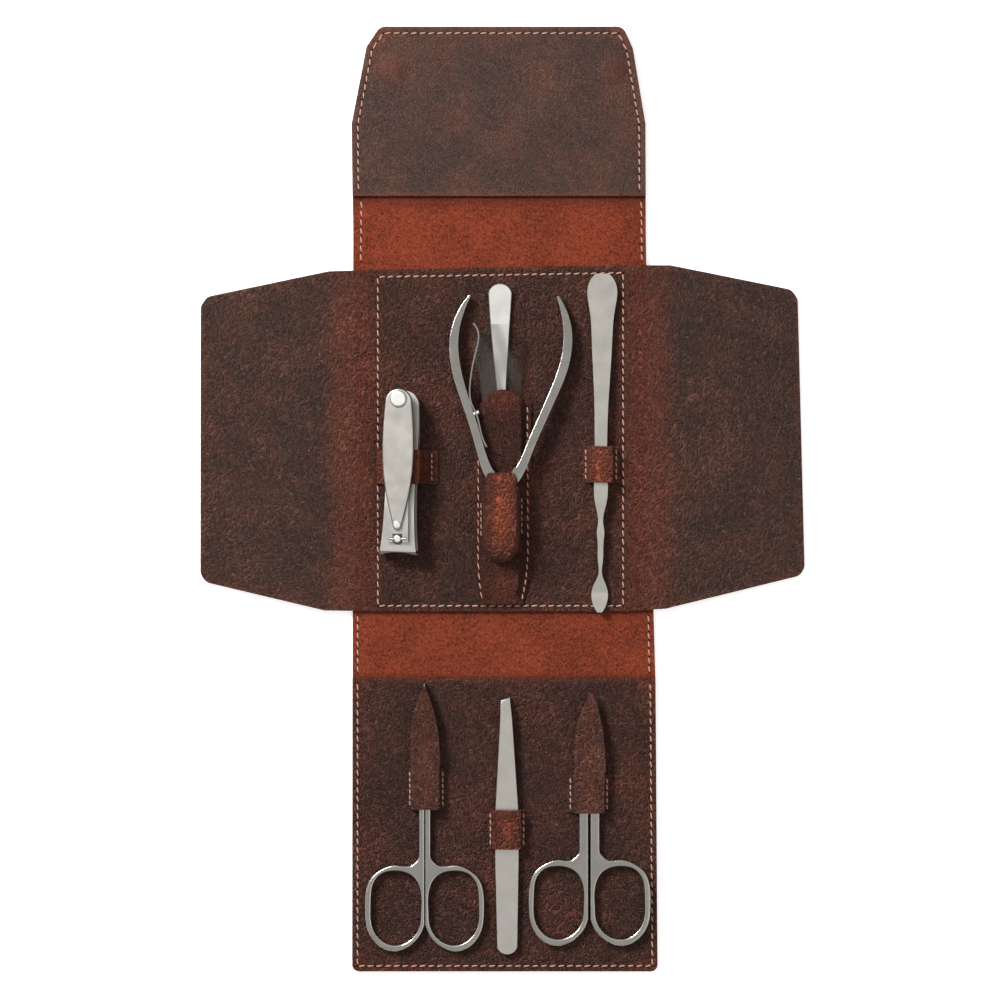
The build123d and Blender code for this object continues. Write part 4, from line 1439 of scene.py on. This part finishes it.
@dataclass
class FilePocket:
    """Raised pocket of the nail file with a rounded tongue at its mouth."""

    feet: Point = (-8.5, 10.9)
    roof: float = 6.45
    bottom: float = -57.0
    mouth: Line = ((-8.5, 12.6), (-5.7, 13.2), (-3.6, 16.4), (0.7, 18.2), (5.2, 16.6),
                   (7.9, 13.2), (10.9, 13.8))
    seams: Sequence[Line] = (
        ((-7.5, 11.5), (-7.6, -42.0), (-7.2, -49.0), (-6.2, -55.6)),
        ((9.6, 12.2), (9.7, -40.0), (9.1, -48.0), (7.6, -55.6)))
    columns: int = 40
    rows: int = 76

    def top(self, x: float, y: float) -> float:
        """Height of the pocket's face.

        Args:
            x: X of a point.
            y: Y of the point.

        Returns:
            The height.
        """
        tuck = smoothstep(-38, -57, y)
        left = smoothstep(-7.6 + tuck, -5.9 + tuck, x)
        right = smoothstep(8.9 - 1.6 * tuck, 7.0 - 1.6 * tuck, x)
        foot = LEATHER_TOP + 1.0
        fall = smoothstep(-57.0, -50.0, y)
        return foot + (self.roof - foot) * min(left, right) * (0.25 + 0.75 * fall)

    def build(self) -> None:
        """Build the pocket and its seams."""
        edge = soften(self.mouth)
        turned = [(y, x) for x, y in edge]

        def place(column: int, row: int) -> Vector:
            """A point of the pocket; rows run from its bottom to its mouth.

            Args:
                column: column of the grid, from the left.
                row: row of the grid, from its bottom to its mouth.

            Returns:
                The point.
            """
            share = column / self.columns
            high = crossing(turned, between(self.feet, share))
            y = between((self.bottom, high), row / self.rows)
            tuck = smoothstep(-38, -57, y) ** 2
            x = between((self.feet[0] + 1.8 * tuck, self.feet[1] - 2.8 * tuck), share)
            return Vector((x, y, self.top(x, y) + ripple(x, y, 6.0, 0.08)))

        outline = [(self.feet[1], self.bottom), *edge[::-1], (self.feet[0], self.bottom)]
        piece = leather("pocket", mapped_grid(self.columns, self.rows, place), POCKET_HIDE, 1.0,
                        [Spot(0.5, 14, 6, 5, 0.3), Spot(0.5, -52, 6, 5, 0.4)], outline, 0.25)
        keep(piece, "centre", Slot.LEATHER, "file_pocket")
        sew_rows("pocket", [StitchRow(seam, 2.9, 9.0, 2.2, 0.5) for seam in self.seams],
                 "centre", lambda x, y: self.top(x, y) - 0.02, Slot.LEATHER)


@dataclass
class NipperCover:
    """Moulded cap over the nipper's jaws, one shell that is open at its mouth."""

    centre: float = 0.45
    half: float = 6.55
    bottom: float = -42.6
    mouth: Point = (-17.2, -11.2)
    base: float = 6.47
    height: float = 8.25
    cells: int = 40

    def place(self, column: int, row: int) -> Vector:
        """Point of the shell; columns run round it and rows run to the mouth.

        Args:
            column: column of the grid, round the shell.
            row: row of the grid, from its bottom to its mouth.

        Returns:
            The point.
        """
        turn = math.pi * (1 - column / self.cells)
        cos, sin = math.cos(turn), math.sin(turn)
        end = between(self.mouth, smoothstep(0.35, 0.95, sin))
        share = math.sin(math.pi / 2 * row / self.cells)
        y = between((self.bottom, end), 1 - math.cos(math.pi / 2 * share))
        near = min(1.0, (y - self.bottom) / 7.5)
        fade = math.sqrt(max(0.0, 1 - (1 - near) ** 2))
        x = self.centre + self.half * fade * math.copysign(abs(cos) ** 0.5, cos)
        z = self.base + self.height * fade ** 0.8 * max(0.0, sin) ** 0.55
        return Vector((x, y, z + ripple(x, y, 6.0, 0.1)))

    def build(self) -> None:
        """Build the cap and its stitches."""
        piece = leather("nipper_cap", mapped_grid(self.cells, self.cells, self.place), STRAP_HIDE,
                        0.95, [Spot(0.6, -26, 3.6, 11, 1.0), Spot(0.6, -13, 4, 2, 0.5)], (), 0.2,
                        1.0)
        keep(piece, "centre", Slot.STRAP, "nipper_cover")
        rows = [StitchRow([(x, high), (x, low)], 2.2, 8.0, 1.75, 0.5)
                for x, high, low in ((-6.55, -21.5, -33.5), (7.5, -19.6, -32.5))]
        sew_rows("nipper_cap", rows, "centre", lambda x, y: 5.9, Slot.STRAP)


@dataclass
class ClipperStrap:
    """Strap over the clipper's jaws and under its lever; it follows the tipped tool."""

    at: tuple[float, float, float] = (-34.4, -34.1, 3.85)
    yaw: float = -1.9
    roll: float = -7.0
    span: Point = (-15.1, -3.2)
    feet: Point = (-42.9, -21.7)
    hoop: Line = (
        (-6.95, 1.2), (-6.95, 6.2), (-6.6, 7.4), (-5.6, 7.85), (0, 7.95), (5.6, 7.85),
        (6.6, 7.4), (6.95, 6.2), (6.95, 1.8))
    stitches: float = -23.8
    columns: int = 60
    rows: int = 14

    def line(self) -> list[Point]:
        """The strap's upper face from foot to foot, over the tipped jaws.

        Returns:
            The points of the line.
        """
        tip = (Matrix.Translation(self.at) @ Matrix.Rotation(math.radians(self.yaw), 4, "Z")
               @ Matrix.Rotation(math.radians(self.roll), 4, "Y"))
        hoop = [tip @ Vector((x, 25.0, z)) for x, z in self.hoop]
        return soften([(self.feet[0], 3.9), (-41.4, 3.9), *((p.x, p.z) for p in hoop),
                       (-25.9, 4.0), (-24.6, 4.0), (self.feet[1], 4.0)])

    def build(self) -> None:
        """Build the strap and its stitches."""
        line = self.line()

        def place(column: int, row: int) -> Vector:
            """A point of the strap, which leans with the tool that it holds.

            Args:
                column: column of the grid, over the tool.
                row: row of the grid, along the tool.

            Returns:
                The point.
            """
            x, z = walk(line, column / self.columns)
            y = between(self.span, row / self.rows)
            lean = 0.033 * (y + 9.15) * smoothstep(4.0, 8.0, z)
            return Vector((x + lean, y + ripple(x, z, 7.0, 0.15, 2.0), z + ripple(x, y, 6, 0.05)))

        piece = leather("clipper_strap_loop", mapped_grid(self.columns, self.rows, place),
                        STRAP_HIDE, 0.85, [Spot(-28, -9, 3, 8, 0.5), Spot(-41, -9, 2, 8, 0.4)],
                        rectangle(self.feet, self.span))
        keep(piece, "centre", Slot.STRAP, "clipper_strap")
        row = StitchRow([(self.stitches, self.span[0] + 0.9), (self.stitches, self.span[1] - 0.9)],
                        2.0, 8.0, 1.7, 0.5)
        sew_rows("clipper_strap", [row], "centre", lambda x, y: 3.98, Slot.STRAP)


LOOPS = (
    Loop("pusher_strap", "centre", Section((29.05, 41.4), (31.5, 38.6), 7.2, 1.0),
         (-14.6, -1.9), (29.95, 40.5), Spot(35, -8, 3, 7, 0.7)),
    Loop("tweezer_strap", "lower_panel", Section((-3.7, 8.6), (-2.15, 6.95), 6.7),
         (-142.2, -128.6), (-3.3, 8.2), Spot(2.4, -135, 3, 7, 0.6)),
)
SHEATHS = (
    Sheath("left_sheath", Section((-31.9, -19.3), (-30.3, -21.5), 6.2), (-128.4, -114.3),
           ((-31.2, -115.0), (-31.0, -108.6), (-31.1, -101.9), (-30.7, -97.6), (-29.0, -91.2),
            (-27.3, -86.9), (-26.5, -85.7)),
           ((-20.6, -115.0), (-20.7, -110.3), (-21.2, -102.9), (-22.4, -96.2), (-24.4, -89.5),
            (-25.5, -86.9), (-25.9, -85.7)), (-31.4, -20.0)),
    Sheath("right_sheath", Section((23.5, 38.0), (26.6, 35.9), 6.2), (-129.7, -116.5),
           ((25.8, -117.0), (26.0, -108.6), (26.4, -100.2), (28.4, -93.6), (30.7, -89.0),
            (31.5, -87.9)),
           ((36.9, -117.0), (36.5, -106.9), (35.5, -98.9), (33.7, -91.2), (32.6, -88.9),
            (32.1, -87.9)), (24.6, 37.3)),
)


# ---- tools ----
# The nodes that only get a smooth welded copy, by slot and finish, each with its body.
TOOLS: tuple[tuple[Slot, Finish, dict[str, str]], ...] = (
    (Slot.STEEL, SATIN, {
        "clipper_lower_jaw": "clipper", "clipper_tail_rivet": "clipper",
        "clipper_upper_jaw": "clipper_upper_jaw", "lever_under_plate": "clipper_lever",
        "lever_thumb_plate": "clipper_lever", "cuticle_pusher": "pusher",
        "tweezers_lower_arm": "tweezers", "tweezers_upper_arm": "tweezers_upper_arm"}),
    (Slot.STEEL, FILE_STEEL, {"nail_file": "file"}),
    (Slot.STEEL, HANDLE_STEEL, {
        "nipper_left_half": "nipper_left", "nipper_right_half": "nipper_right",
        "left_scissors_lower_half": "left_scissors_lower",
        "left_scissors_upper_half": "left_scissors_upper",
        "right_scissors_lower_half": "right_scissors_lower",
        "right_scissors_upper_half": "right_scissors_upper"}),
    (Slot.BRIGHT, HANDLE_STEEL, {"nipper_spring": "nipper_left"}),
    (Slot.BRIGHT, BRIGHT, {
        "clipper_pin": "clipper_pin", "lever_rivets": "clipper_lever",
        "nipper_screw": "nipper_pivot", "nipper_spring_screw": "nipper_left",
        "left_scissors_screw": "left_scissors_pivot",
        "right_scissors_screw": "right_scissors_pivot"}),
    (Slot.FILM, FILM, {"file_sleeve": "centre"}),
    (Slot.MAGNET, BRIGHT, {"catch_plates": "lower_panel", "flap_magnets": "flap"}),
)


def build_tools() -> None:
    """Dress every tool, the film and the magnets with copies of their CAD nodes."""
    for slot, finish, bodies in TOOLS:
        for node, body in bodies.items():
            keep(smooth_copy(node, finish), body, slot, node)


# ---- room ----
@dataclass
class Studio:
    """White floor, soft light from above and the camera that looks straight down."""

    distance: float = 1.1
    target: Point = (0.0, -0.02065)
    view: float = 0.35
    floor_level: float = -0.0004
    warm_white: tuple[float, ...] = (1.0, 0.985, 0.96, 1.0)

    def floor(self) -> None:
        """Lay the floor just under the case."""
        bm = bmesh.new()
        bmesh.ops.create_grid(bm, x_segments=2, y_segments=2, size=12.0)
        bmesh.ops.translate(bm, vec=(0, 0, self.floor_level), verts=bm.verts)
        floor = to_object("floor", bm, FLOOR, 1.0)

    def lamp(self, name: str, place: Vector, size: float, power: float) -> None:
        """A square soft lamp that points at the middle of the case.

        Args:
            name: its name.
            place: where it hangs, in metres.
            size: its side, in metres.
            power: its power, in watts.
        """
        data = bpy.data.lights.new(name, "AREA")
        data.size, data.energy = size, power
        lamp = bpy.data.objects.new(name, data)
        lamp.location = place
        beam = Vector((*self.target, 0)) - place
        lamp.rotation_euler = beam.to_track_quat("-Z", "Y").to_euler()
        bpy.context.scene.collection.objects.link(lamp)

    def world(self) -> bpy.types.World:
        """A sky that is bright overhead and dim towards the horizon.

        Returns:
            The world.
        """
        world = bpy.data.worlds.new("studio")
        world.use_nodes = True
        sheet = Sheet(world.node_tree)
        background = next(n for n in sheet.tree.nodes if n.type == "BACKGROUND")
        way = sheet.add("TexCoord").outputs["Generated"]
        up = sheet.add("SeparateXYZ", in_0=way).outputs["Z"]
        sheet.feed(background, Color=self.warm_white,
                   Strength=sheet.span(up, 0.55, 0.98, (0.16, 0.95)))
        return world

    def build(self) -> None:
        """Set up floor, world, lamps and camera."""
        scene = bpy.context.scene
        scene.view_settings.view_transform = "Standard"
        scene.world = self.world()
        self.floor()
        self.lamp("key", Vector((-0.8, 0.75, 0.95)), 0.4, 24.0)
        self.lamp("fill", Vector((0.7, -0.5, 1.1)), 0.9, 1.5)
        data = bpy.data.cameras.new("camera")
        data.lens = data.sensor_width * self.distance / self.view
        data.clip_start, data.clip_end = 0.05, 10.0
        camera = bpy.data.objects.new("camera", data)
        camera.location = (*self.target, self.distance)
        scene.collection.objects.link(camera)
        scene.camera = camera


def main() -> None:
    """Dress the whole case."""
    logging.basicConfig(level=logging.INFO, format="%(message)s")
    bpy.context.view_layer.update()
    for group in (hide_grain_group, suede_group, blasted_group):
        group()
    for part in (Strip(), Hide(), *PANELS, FilePocket(), NipperCover(), ClipperStrap(), *LOOPS,
                 *SHEATHS):
        part.build()
    build_tools()
    Studio().build()


if __name__ == "__main__":
    main()
